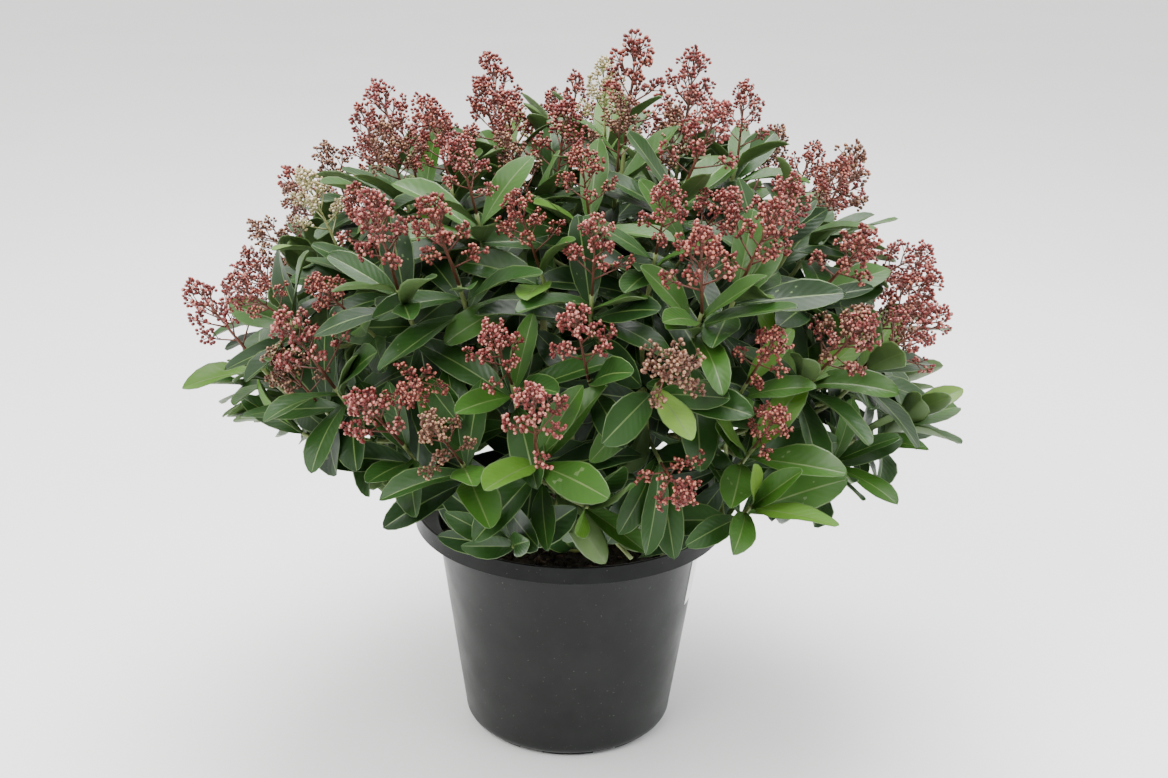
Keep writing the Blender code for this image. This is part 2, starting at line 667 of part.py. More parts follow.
def build_mass(name, foot, heading, shoots, room, home, materials):
    """One mass of foliage, fused into one solid: a stem and its shoots with leaves and panicles."""
    pieces = collection(f"{name}_pieces", hidden=True)
    start = foot + heading * GAP
    fork = start + heading * (Vector(room.hearts[name]) - start).length * MASS_STEM_SHARE
    stem = twig_shape((start, fork), MASS_STEM_RADII, MASS_STEM_SIDES)
    core = from_bmesh(name, stem, home, materials, BARK)
    grown = []
    for number, shoot in enumerate(shoots):
        share = FIRST_FORK + (LAST_FORK - FIRST_FORK) * number / max(1, len(shoots) - 1)
        if grow_shoot(name, number, start + (fork - start) * share, shoot, room, pieces, materials):
            grown.append((number, shoot))
    for number, shoot in grown:
        grow_leaves(name, number, shoot, room, pieces, materials)
    join(core, pieces)


def drop_scrap(mesh):
    """Keeps a mesh's largest shell alone: loose scrap and sealed hollows are taken out."""
    shape = bmesh.new()
    shape.from_mesh(mesh)
    unseen = set(shape.faces)
    shells = []
    while unseen:
        shell = [unseen.pop()]
        for face in shell:
            for edge in face.edges:
                for near in edge.link_faces:
                    if near in unseen:
                        unseen.discard(near)
                        shell.append(near)
        shells.append(shell)
    shells.sort(key=len)
    for shell in shells[:-1]:
        bmesh.ops.delete(shape, geom=shell, context="FACES")
    shape.to_mesh(mesh)
    shape.free()


def join(core, pieces):
    """Fuses a collection's pieces on to the core, and removes them."""
    union = core.modifiers.new("Fuse", "BOOLEAN")
    union.operation = "UNION"
    union.operand_type = "COLLECTION"
    union.collection = pieces
    union.solver = "EXACT"
    graph = bpy.context.evaluated_depsgraph_get()
    fused = bpy.data.meshes.new_from_object(core.evaluated_get(graph))
    core.modifiers.clear()
    drop_scrap(fused)
    core.data = fused
    for piece in list(pieces.objects):
        bpy.data.objects.remove(piece)
    bpy.data.collections.remove(pieces)


def main():
    """Builds the pot, the compost, the limbs and the masses of foliage."""
    clear_scene()
    plant = collection("potted_skimmia")
    cutters = collection("cutters", hidden=True)
    plastic = material("pot_plastic", (0.035, 0.038, 0.040), 0.38)
    compost = material("compost", (0.045, 0.030, 0.020), 0.95)
    bark = material("bark", (0.22, 0.20, 0.09), 0.75)
    leaf = material("leaf", (0.045, 0.13, 0.035), 0.35)
    bud = material("bud", (0.32, 0.075, 0.060), 0.5)

    build_pot(plant, cutters, [plastic])
    build_compost(plant, [compost])
    feet, limbs = build_limbs(plant, [bark])

    directions = {name: direction for name, _, direction in masses()}
    hearts = {name: in_crown(direction, MASS_HEART) for name, direction in directions.items()}
    room = Room(hearts, limbs)
    shoots = {name: [] for name in hearts}
    for shoot in [Shoot(number) for number in range(SHOOTS)]:
        nearest = min(hearts, key=lambda name: (hearts[name] - shoot.whorl).length)
        shoot.draw_in(nearest, directions[nearest], room)
        shoots[nearest].append(shoot)
    for name, (foot, heading) in feet.items():
        build_mass(name, foot, heading, shoots[name], room, plant, [bark, leaf, bud])


main()
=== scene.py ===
"""Visual model of the potted skimmia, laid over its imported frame.

The crown is grown by the rule of the part's source: shoots dealt out over the crown by the golden
angle, each given to the mass whose heart is nearest. Here the rule is carried further, to side
shoots between the main ones, whole whorls of veined leaves, and panicles of single flower buds.

Metres, +Z up, the origin at the centre of the pot's underside, and -Y the plant's front.
"""

from __future__ import annotations

import logging
import math
import random
from dataclasses import dataclass, field
from enum import Enum

import bpy
import numpy as np
from mathutils import Matrix
from mathutils.bvhtree import BVHTree

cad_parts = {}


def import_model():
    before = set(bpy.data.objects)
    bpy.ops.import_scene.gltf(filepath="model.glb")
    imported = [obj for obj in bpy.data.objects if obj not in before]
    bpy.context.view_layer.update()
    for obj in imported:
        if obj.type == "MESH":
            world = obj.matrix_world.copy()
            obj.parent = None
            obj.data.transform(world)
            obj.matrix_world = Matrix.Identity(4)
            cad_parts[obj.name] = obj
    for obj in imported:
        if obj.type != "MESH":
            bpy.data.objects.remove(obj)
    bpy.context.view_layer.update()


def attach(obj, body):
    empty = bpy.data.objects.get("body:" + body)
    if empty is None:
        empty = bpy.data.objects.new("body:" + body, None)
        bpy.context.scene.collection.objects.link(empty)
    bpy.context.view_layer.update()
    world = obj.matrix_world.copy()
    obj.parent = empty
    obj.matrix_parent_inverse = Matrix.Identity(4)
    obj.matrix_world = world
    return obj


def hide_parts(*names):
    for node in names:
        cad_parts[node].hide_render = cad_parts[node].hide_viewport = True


LOG = logging.getLogger("potted_skimmia")
FULL_TURN = 2 * math.pi
GOLDEN_ANGLE = math.pi * (3 - math.sqrt(5))
UP = np.array((0.0, 0.0, 1.0))
SEAT = 0.0003  # Metres between two solids that meet.
NO_LENGTH = 1e-12  # A vector shorter than this has no direction.
TOUCHING = 1e-6  # Directions closer than this are the same.
STRAIGHT = 1e-3  # Radians; a leaf bends by at least this, so that its arc has a radius.
NO_QUADS = np.zeros((0, 4), int)
NO_TRIANGLES = np.zeros((0, 3), int)

Array = np.ndarray
Pair = tuple[float, float]
Triple = tuple[float, float, float]
Colour = Triple
Material = bpy.types.Material
Piece = bpy.types.Object
Socket = bpy.types.NodeSocket


# ---- Small vector helpers ----
def unit(vectors: Array) -> Array:
    """Vectors scaled to length one."""
    return vectors / np.maximum(np.linalg.norm(vectors, axis=-1, keepdims=True), NO_LENGTH)


def polar(azimuth: float, elevation: float) -> Array:
    """The direction at an azimuth from +X and an elevation above the ground."""
    level = math.cos(elevation)
    return np.array((math.cos(azimuth) * level, math.sin(azimuth) * level, math.sin(elevation)))


def across_of(directions: Array) -> Array:
    """A unit vector at right angles to each direction, the same for the same direction."""
    aside = np.where(np.abs(directions[..., 2:3]) < 0.9, UP, np.array((1.0, 0.0, 0.0)))
    return unit(np.cross(aside, directions))


def turned_about(vector: Array, axis: Array, angle: float) -> Array:
    """A vector turned about an axis by Rodrigues' formula."""
    along = axis * float(vector @ axis) * (1 - math.cos(angle))
    return vector * math.cos(angle) + np.cross(axis, vector) * math.sin(angle) + along


def bezier(start: Array, leaving: Array, end: Array, arriving: Array,
           count: int) -> Array:
    """Points on the cubic curve that leaves start on one heading and reaches end on another.

    The two inner control points lie a third of the span away from the ends, along the headings,
    and the point at t is the Bernstein sum of the four.

    Args:
        start: First point.
        leaving: Unit heading at the first point.
        end: Last point.
        arriving: Unit heading at the last point.
        count: Number of points.

    Returns:
        An array of shape (count, 3).
    """
    reach = np.linalg.norm(end - start) / 3
    knots = np.array((start, start + leaving * reach, end - arriving * reach, end))
    t = np.linspace(0, 1, count)[:, None]
    shares = np.hstack(((1 - t) ** 3, 3 * t * (1 - t) ** 2, 3 * t * t * (1 - t), t ** 3))
    return shares @ knots


def between(ends: Pair, share: float | Array) -> float | Array:
    """The value at a share of the way from one end to the other."""
    return ends[0] + (ends[1] - ends[0]) * share


def bell(distance: Array, width: float) -> Array:
    """A bell curve, exp(-(distance / width)^2)."""
    return np.exp(-(distance / width) ** 2)


def angles_round(count: int) -> Array:
    """Evenly spaced angles round a full turn, from 0."""
    return np.arange(count) * FULL_TURN / count


# ---- Mesh building ----
@dataclass
class Batch:
    """Vertices and faces of one kind, gathered from many small shapes and made one mesh.

    Each list holds an array for each shape: its vertices (n, 3), its faces (n, 4) and (n, 3) as
    numbers of vertices, their material slots, and each vertex's place on the UV map (n, 2).
    """

    vertices: list[Array] = field(default_factory=list)
    quads: list[Array] = field(default_factory=list)
    triangles: list[Array] = field(default_factory=list)
    quad_slots: list[Array] = field(default_factory=list)
    triangle_slots: list[Array] = field(default_factory=list)
    uvs: list[Array] = field(default_factory=list)
    count: int = 0

    def add(self, vertices: Array, quads: Array, triangles: Array,
            quad_slots: Array | int = 0, triangle_slots: Array | int = 0,
            uvs: Array | None = None) -> None:
        """Adds a shape.

        Args:
            vertices: Shape (n, 3).
            quads: Shape (m, 4), numbered from this shape's first vertex.
            triangles: Shape (k, 3), numbered likewise.
            quad_slots: One slot for all the quads, or one for each.
            triangle_slots: One slot for all the triangles, or one for each.
            uvs: Shape (n, 2), or None for zeros.
        """
        self.vertices.append(vertices)
        self.quads.append(quads + self.count)
        self.triangles.append(triangles + self.count)
        self.quad_slots.append(np.broadcast_to(quad_slots, len(quads)))
        self.triangle_slots.append(np.broadcast_to(triangle_slots, len(triangles)))
        self.uvs.append(np.zeros((len(vertices), 2)) if uvs is None else uvs)
        self.count += len(vertices)

    def build(self, name: str, materials: list[Material],
              smooth: bool = True) -> Piece:
        """Makes one mesh object of everything added.

        Args:
            name: The object's name.
            materials: Its material slots.
            smooth: Whether its faces are shaded smooth.

        Returns:
            The object, linked to the scene.
        """
        vertices = np.concatenate(self.vertices)
        quads, triangles = np.concatenate(self.quads), np.concatenate(self.triangles)
        loops = np.concatenate((quads.ravel(), triangles.ravel())).astype(np.int32)
        sizes = np.concatenate((np.full(len(quads), 4), np.full(len(triangles), 3)))
        starts = np.concatenate(((0,), np.cumsum(sizes)[:-1]))
        slots = np.concatenate(self.quad_slots + self.triangle_slots)
        mesh = bpy.data.meshes.new(name)
        mesh.vertices.add(len(vertices))
        mesh.vertices.foreach_set("co", vertices.astype(np.float32).ravel())
        mesh.loops.add(len(loops))
        mesh.loops.foreach_set("vertex_index", loops)
        mesh.polygons.add(len(sizes))
        mesh.polygons.foreach_set("loop_start", starts.astype(np.int32))
        mesh.polygons.foreach_set("loop_total", sizes.astype(np.int32))
        for material in materials:
            mesh.materials.append(material)
        mesh.polygons.foreach_set("material_index", slots.astype(np.int32))
        mesh.polygons.foreach_set("use_smooth", np.full(len(sizes), smooth))
        places = np.concatenate(self.uvs)[loops]
        mesh.uv_layers.new(name="UVMap").data.foreach_set("uv", places.astype(np.float32).ravel())
        mesh.update(calc_edges=True)
        mesh.validate()
        obj = bpy.data.objects.new(name, mesh)
        bpy.context.scene.collection.objects.link(obj)
        LOG.info("%s: %d triangles", name, 2 * len(quads) + len(triangles))
        return obj


def copies(faces: Array, count: int, stride: int) -> Array:
    """Faces repeated for a number of equal shapes."""
    shifts = (np.arange(count) * stride)[:, None, None]
    return (faces[None] + shifts).reshape(-1, faces.shape[1])


def loop_faces(rows: int, stride: int, loop: Array) -> tuple[Array, Array]:
    """Faces between rows of vertices, all the way round a loop of columns, and a fan at each end.

    Args:
        rows: Rows of vertices.
        stride: Vertices in a row.
        loop: The columns in their order round the loop.

    Returns:
        The quads, and the fans' triangles, whose middles are the two vertices after the rows.
    """
    after = np.roll(loop, -1)
    row = np.arange(rows - 1)[:, None] * stride
    corners = (row + loop, row + after, row + stride + after, row + stride + loop)
    last = (rows - 1) * stride
    first_fan = np.stack((np.full(len(loop), rows * stride), after, loop), -1)
    last_fan = np.stack((np.full(len(loop), rows * stride + 1), last + loop, last + after), -1)
    return np.stack(corners, -1).reshape(-1, 4), np.concatenate((first_fan, last_fan))


def add_tubes(batch: Batch, paths: Array, radii: Array, sides: int,
              slot: int | Array = 0, relief: Array | None = None) -> None:
    """Adds round tubes, all with the same number of points.

    A tube's vertex at point p and angle a is p + r (n cos a + b sin a), where n and b span the
    plane square to the path there, and r is the radius, swelled by the relief.

    Args:
        batch: Where they are added.
        paths: Shape (tubes, points, 3).
        radii: Shape (tubes, points).
        sides: Vertices round a tube.
        slot: One material slot, or one for each tube.
        relief: Share of the radius to add, shape (tubes, points, sides), or None.
    """
    tubes, points, _ = paths.shape
    tangents = unit(np.gradient(paths, axis=1))
    aside = across_of(unit(paths[:, -1] - paths[:, 0]))[:, None, :]
    normals = unit(aside - tangents * np.sum(aside * tangents, -1, keepdims=True))
    binormals = np.cross(tangents, normals)
    angles = angles_round(sides)
    swell = np.ones((tubes, points, sides)) if relief is None else 1 + relief
    reach = (radii[..., None] * swell)[..., None]
    out = (normals[:, :, None, :] * np.cos(angles)[None, None, :, None]
           + binormals[:, :, None, :] * np.sin(angles)[None, None, :, None])
    rings = (paths[:, :, None, :] + out * reach).reshape(tubes, points * sides, 3)
    vertices = np.concatenate((rings, paths[:, :1], paths[:, -1:]), axis=1)
    quads, caps = loop_faces(points, sides, np.arange(sides))
    stride = points * sides + 2
    lengths = np.linalg.norm(np.diff(paths, axis=1), axis=-1)
    run = np.concatenate((np.zeros((tubes, 1)), np.cumsum(lengths, axis=1)), axis=1)
    u = np.broadcast_to((angles / FULL_TURN)[None, None], (tubes, points, sides))
    v = np.broadcast_to(run[..., None], (tubes, points, sides))
    uvs = np.stack((u, v), -1).reshape(tubes, -1, 2)
    uvs = np.concatenate((uvs, np.zeros((tubes, 2, 2))), axis=1)
    slots = np.broadcast_to(slot, tubes)
    batch.add(vertices.reshape(-1, 3), copies(quads, tubes, stride), copies(caps, tubes, stride),
              np.repeat(slots, len(quads)), np.repeat(slots, len(caps)), uvs.reshape(-1, 2))


def add_turned(batch: Batch, profile: Array, steps: int, slots: Array) -> None:
    """Adds a solid of revolution whose first and last profile points are on the axis.

    A vertex at profile point (r, z) and angle a is (r cos a, r sin a, z).

    Args:
        batch: Where it is added.
        profile: (radius, height) down the outer side, shape (n, 2).
        steps: Vertices round it.
        slots: The material slot of each stretch of the profile between its inner points.
    """
    angles = -angles_round(steps)
    inner = profile[1:-1]
    radius, height = inner[:, :1], np.broadcast_to(inner[:, 1:], (len(inner), steps))
    rings = np.stack((radius * np.cos(angles), radius * np.sin(angles), height), -1).reshape(-1, 3)
    poles = np.array([(0, 0, profile[0, 1]), (0, 0, profile[-1, 1])])
    quads, caps = loop_faces(len(inner), steps, np.arange(steps))
    batch.add(np.concatenate((rings, poles)), quads[:, ::-1], caps[:, ::-1], np.repeat(slots, steps))


# ---- Finishes ----
class Shader:
    """A Principled material and short ways to add nodes to it."""

    def __init__(self, name: str) -> None:
        """Makes the material.

        Args:
            name: The material's name.
        """
        self.material = bpy.data.materials.new(name)
        self.material.use_nodes = True
        self.tree = self.material.node_tree
        self.shader = self.tree.nodes["Principled BSDF"]

    def node(self, kind: str, **settings: object) -> bpy.types.Node:
        """Adds a node.

        Args:
            kind: The node's type.
            **settings: Properties to set on it.

        Returns:
            The node.
        """
        made = self.tree.nodes.new(kind)
        for key, value in settings.items():
            setattr(made, key, value)
        return made

    def link(self, source: Socket, target: Socket) -> None:
        """Joins two sockets."""
        self.tree.links.new(source, target)

    def set(self, **values: float | tuple[float, ...]) -> None:
        """Sets constants on the shader's own sockets."""
        for key, value in values.items():
            socket = key.replace("_", " ").title().replace("Ior", "IOR")
            self.shader.inputs[socket].default_value = value

    def noise(self, scale: float, detail: float = 3.0, roughness: float = 0.55,
              stretch: Triple | None = None) -> Socket:
        """A noise over the piece's own coordinates.

        Args:
            scale: Features in a metre.
            detail: Octaves.
            roughness: Strength of the finer octaves.
            stretch: What the coordinates are multiplied by, or None.

        Returns:
            The noise's value socket.
        """
        place = self.node("ShaderNodeTexCoord").outputs["Object"]
        if stretch:
            mapping = self.node("ShaderNodeMapping")
            mapping.inputs["Scale"].default_value = stretch
            self.link(place, mapping.inputs["Vector"])
            place = mapping.outputs["Vector"]
        made = self.node("ShaderNodeTexNoise")
        made.inputs["Scale"].default_value = scale
        made.inputs["Detail"].default_value = detail
        made.inputs["Roughness"].default_value = roughness
        self.link(place, made.inputs["Vector"])
        return made.outputs["Fac"]

    def math(self, operation: str, *values: Socket | float) -> Socket:
        """A sum worked out by one node.

        Args:
            operation: The node's operation.
            *values: What it works on, each a socket or a constant.

        Returns:
            The result.
        """
        made = self.node("ShaderNodeMath", operation=operation)
        for target, value in zip(made.inputs, values):
            if isinstance(value, float):
                target.default_value = value
            else:
                self.link(value, target)
        return made.outputs[0]

    def paint(self, value: Socket, stops: list[tuple[float, Colour]]) -> None:
        """Colours the surface by a value."""
        self.link(self.ramp(value, stops), self.shader.inputs["Base Color"])

    def roughen(self, value: Socket, low: float, high: float) -> None:
        """Makes the surface rougher and smoother by a noise's middle range, from 0.3 to 0.7.

        Args:
            value: The noise value.
            low: The roughness where it is 0.3.
            high: The roughness where it is 0.7.
        """
        made = self.node("ShaderNodeMapRange")
        for key, number in (("From Min", 0.3), ("From Max", 0.7), ("To Min", low), ("To Max", high)):
            made.inputs[key].default_value = number
        self.link(value, made.inputs["Value"])
        self.link(made.outputs["Result"], self.shader.inputs["Roughness"])

    def ramp(self, value: Socket, stops: list[tuple[float, Colour]]) -> Socket:
        """Colours dealt out by a value.

        Args:
            value: The socket that picks the colour.
            stops: (place, colour) pairs.

        Returns:
            The colour socket.
        """
        made = self.node("ShaderNodeValToRGB")
        elements = made.color_ramp.elements
        while len(elements) < len(stops):
            elements.new(0.5)
        for element, (place, colour) in zip(elements, stops):
            element.position = place
            element.color = (*colour, 1.0)
        self.link(value, made.inputs["Fac"])
        return made.outputs["Color"]

    def bump(self, height: Socket, distance: float, strength: float = 1.0) -> None:
        """Lifts the surface by a height.

        Args:
            height: The socket that gives it.
            distance: Metres for a height of one.
            strength: Share of it that shows.
        """
        made = self.node("ShaderNodeBump")
        made.inputs["Distance"].default_value = distance
        made.inputs["Strength"].default_value = strength
        self.link(height, made.inputs["Height"])
        self.link(made.outputs["Normal"], self.shader.inputs["Normal"])


def mixed(colour: Colour, factor: float) -> Colour:
    """A colour made lighter or darker."""
    return tuple(min(1.0, part * factor) for part in colour)


@dataclass(frozen=True)
class BladeFinish:
    """Glossy upper side of a leaf, mottled a little, with sunken side veins that follow its UV map."""

    name: str
    colour: Colour
    roughness: float = 0.30
    vein_depth: float = 0.00007
    veins: float = 11.0
    vein_slant: float = 0.42

    def material(self) -> Material:
        """Makes the material.

        Returns:
            The material.
        """
        made = Shader(self.name)
        made.paint(made.noise(scale=26.0, detail=4.0),
                   [(0.25, mixed(self.colour, 0.86)), (0.5, self.colour), (0.8, mixed(self.colour, 1.16))])
        made.roughen(made.noise(scale=60.0), low=self.roughness - 0.05, high=self.roughness + 0.08)
        place = made.node("ShaderNodeUVMap", uv_map="UVMap")
        parts = made.node("ShaderNodeSeparateXYZ")
        made.link(place.outputs["UV"], parts.inputs[0])
        away = made.math("ABSOLUTE", made.math("SUBTRACT", parts.outputs["Y"], 0.5))
        slanted = made.math("MULTIPLY_ADD", away, -self.vein_slant, parts.outputs["X"])
        wave = made.math("SINE", made.math("MULTIPLY", slanted, self.veins * FULL_TURN))
        made.bump(wave, self.vein_depth, strength=0.6)
        made.set(specular_ior_level=0.28)
        return made.material


@dataclass(frozen=True)
class MattFinish:
    """A plain matt or satin surface with a mottled colour and a fine bump."""

    name: str
    colour: Colour
    roughness: float
    mottle_scale: float = 60.0
    contrast: float = 0.2
    bump_scale: float = 400.0
    bump_depth: float = 0.0002

    def material(self) -> Material:
        """Makes the material.

        Returns:
            The material.
        """
        made = Shader(self.name)
        darker, lighter = mixed(self.colour, 1 - self.contrast), mixed(self.colour, 1 + self.contrast)
        made.paint(made.noise(self.mottle_scale, detail=4.0),
                   [(0.3, darker), (0.5, self.colour), (0.72, lighter)])
        made.set(roughness=self.roughness)
        made.bump(made.noise(self.bump_scale, detail=2.0), self.bump_depth, strength=0.7)
        return made.material


@dataclass(frozen=True)
class BarkFinish:
    """Smooth young bark: green-brown, browner in patches, with fine lengthwise cracks."""

    name: str
    green: Colour = (0.19, 0.21, 0.075)
    brown: Colour = (0.20, 0.135, 0.070)
    roughness: float = 0.62

    def material(self) -> Material:
        """Makes the material.

        Returns:
            The material.
        """
        made = Shader(self.name)
        made.paint(made.noise(scale=38.0, detail=5.0),
                   [(0.35, self.brown), (0.52, self.green), (0.75, mixed(self.green, 1.25))])
        made.set(roughness=self.roughness)
        cracks = made.noise(scale=420.0, detail=4.0, roughness=0.5, stretch=(1.0, 1.0, 0.12))
        made.bump(cracks, distance=0.0012, strength=0.8)
        return made.material


@dataclass(frozen=True)
class PlasticFinish:
    """Satin black plastic of a used pot: fine grain, a film of dust and specks of dried soil."""

    name: str
    colour: Colour = (0.0090, 0.0098, 0.0094)
    dust: Colour = (0.060, 0.060, 0.054)
    roughness: float = 0.33
    specular: float = 0.25

    def material(self) -> Material:
        """Makes the material.

        Returns:
            The material.
        """
        made = Shader(self.name)
        made.set(specular_ior_level=self.specular)
        film = made.ramp(made.noise(scale=14.0, detail=6.0, roughness=0.65),
                         [(0.42, self.colour), (0.75, mixed(self.colour, 1.8))])
        specks = made.ramp(made.noise(scale=330.0, detail=2.0, roughness=0.5),
                           [(0.70, (0.0, 0.0, 0.0)), (0.76, (1.0, 1.0, 1.0))])
        mix = made.node("ShaderNodeMix", data_type="RGBA")
        share, under, over = mix.inputs[0], mix.inputs[6], mix.inputs[7]
        over.default_value = (*self.dust, 1.0)
        made.link(specks, share)
        made.link(film, under)
        made.link(mix.outputs[2], made.shader.inputs["Base Color"])
        made.roughen(made.noise(scale=22.0, detail=5.0), low=self.roughness - 0.05,
                     high=self.roughness + 0.12)
        made.bump(made.noise(scale=900.0, detail=2.0), distance=0.00012, strength=0.6)
        return made.material


# ---- The crown's rule, as in the part's source ----
@dataclass(frozen=True)
class Crown:
    """The crown's space and the masses that share it.

    Its reach is from the centre to the panicles' tips: sideways, front to back, up. A squareness of
    2 is an ellipsoid, and more fills out its shoulders. It rises to a blunt peak by a share of its
    reach. The skirt is its underside's height at the pot's rim and its rise outwards, for the
    whorls and for the leaves, and it is higher round the bare azimuth. A mass's stem begins at
    foot_share of the reach and takes stem_share of the way to the middle of the mass's space.
    """

    centre: Triple = (0.004, 0.0, 0.335)
    reach: Triple = (0.362, 0.350, 0.350)
    squareness: float = 2.8
    peak: Triple = (0.22, 0.0, 1.0)
    peak_rise: float = 0.05
    peak_sharpness: float = 20.0
    skirt_height: float = 0.228
    skirt_rise: float = 0.50
    leaf_skirt: Pair = (0.257, 0.42)
    bare_azimuth: float = math.radians(-146)
    bare_width: float = math.radians(24)
    bare_rise: float = 0.050
    bare_start: float = 0.195
    bare_ramp: float = 0.06
    pot_rim_radius: float = 0.162
    pot_height: float = 0.245
    side_stems: int = 4
    first_azimuth: float = math.radians(22.5)
    upper_elevation: float = math.radians(47)
    lower_elevation: float = math.radians(9)
    lower_spread: float = math.radians(22.5)
    foot_share: float = 0.40
    heart_share: float = 0.62
    stem_share: float = 0.55

    def point(self, direction: Array, share: float) -> Array:
        """The point in the crown at this share of its reach, on a superellipsoid.

        Args:
            direction: A unit vector.
            share: 0 at the centre, 1 at the panicles' tips.

        Returns:
            The point.
        """
        level = math.hypot(direction[0], direction[1])
        power = self.squareness
        bulge = (level ** power + abs(direction[2]) ** power) ** (-1 / power)
        facing = max(0.0, direction @ unit(np.array(self.peak)))
        peak = 1 + self.peak_rise * facing ** self.peak_sharpness
        return np.array(self.centre) + direction * np.array(self.reach) * share * bulge * peak

    def stem_azimuth(self, number: int) -> float:
        """Where a side stem leans."""
        return self.first_azimuth + FULL_TURN * number / self.side_stems

    def masses(self) -> dict[str, tuple[int, Array]]:
        """Each mass's side stem (0 for the middle one) and where it points.

        Returns:
            Mass names mapped to (stem number, direction).
        """
        found = {"foliage_top": (0, UP)}
        for k in range(self.side_stems):
            azimuth = self.stem_azimuth(k)
            found[f"foliage_upper_{k + 1}"] = (k + 1, polar(azimuth, self.upper_elevation))
            for side, turn in enumerate((-self.lower_spread, self.lower_spread)):
                name = f"foliage_lower_{2 * k + side + 1}"
                found[name] = (k + 1, polar(azimuth + turn, self.lower_elevation))
        return found

    def hearts(self) -> dict[str, Array]:
        """The middle of each mass's space."""
        return {name: self.point(direction, self.heart_share)
                for name, (_, direction) in self.masses().items()}

    def above_skirt(self, points: Array, spare: float = 0.0,
                    skirt: Pair | None = None) -> bool:
        """Whether points are above the crown's underside and out of the pot.

        The underside rises outwards in a straight line, and by a bell curve of the azimuth where the
        crown is bare low down.

        Args:
            points: Shape (n, 3).
            spare: Metres to keep off the pot.
            skirt: The underside's height at the rim and its rise outwards, or None for the shoots' own.

        Returns:
            True if all of them are.
        """
        away = np.hypot(points[:, 0], points[:, 1])
        height, rise = skirt or (self.skirt_height, self.skirt_rise)
        offset = np.arctan2(points[:, 1], points[:, 0]) - self.bare_azimuth
        offset = np.mod(offset + math.pi, FULL_TURN) - math.pi
        outwards = np.clip((away - self.bare_start) / self.bare_ramp, 0, 1)
        bare = bell(offset, self.bare_width) * outwards
        underside = height + rise * (away - self.pot_rim_radius) + self.bare_rise * bare
        over_pot = away < self.pot_rim_radius + spare
        in_pot = over_pot & (points[:, 2] < self.pot_height + spare)
        return not ((points[:, 2] < underside).any() or in_pot.any())


@dataclass
class Limb:
    """A stem or bough as a path with radii."""

    name: str
    path: Array
    radii: Array


@dataclass(frozen=True)
class StemBase:
    """The turned stem base, from the compost to the knot that the stems leave.

    The flare and the flutes fall off upwards by their fall, the knot is a bell curve at knot_place
    (share of the height, width), and the cap is where the top is drawn in over it.
    """

    height: float = 0.034
    depth: float = 0.002
    radius: float = 0.0125
    flare_radius: float = 0.021
    flare_fall: float = 7.0
    knot_radius: float = 0.0155
    knot_swell: float = 1.02
    knot_place: Pair = (0.80, 0.20)
    cap_start: float = 0.92
    cap_slope: float = 9.0
    cap_height: float = 0.8
    flute_depth: float = 0.16
    flute_fall: float = 5.0
    flutes: int = 5
    lump_depth: float = 0.05
    lumps: int = 2
    lump_turn: float = 9.0
    rings: int = 22
    sides: int = 30

    def add_to(self, batch: Batch, soil_top: float) -> None:
        """Adds the base: it flares at the compost, fluted by cos(5 a) so that it looks like roots.

        Args:
            batch: Where it is added.
            soil_top: Height of the compost.
        """
        foot = soil_top - self.depth
        top = soil_top + self.height + self.knot_radius * self.cap_height
        share = np.linspace(0, 1, self.rings)
        flare = (self.flare_radius - self.radius) * np.exp(-share * self.flare_fall)
        swell = ((self.knot_radius * self.knot_swell - self.radius)
                 * bell(share - self.knot_place[0], self.knot_place[1]))
        drawn_in = np.where(share > self.cap_start, 1 - (share - self.cap_start) * self.cap_slope, 1)
        radius = (self.radius + flare + swell) * drawn_in
        path = np.stack((np.zeros(self.rings), np.zeros(self.rings), foot + (top - foot) * share), -1)
        around = angles_round(self.sides)[None, None, :]
        up = share[None, :, None]
        ripple = self.flute_depth * np.exp(-up * self.flute_fall) * np.cos(self.flutes * around)
        ripple = ripple + self.lump_depth * np.sin(around * self.lumps + up * self.lump_turn)
        add_tubes(batch, path[None], radius[None], self.sides, 0, ripple)


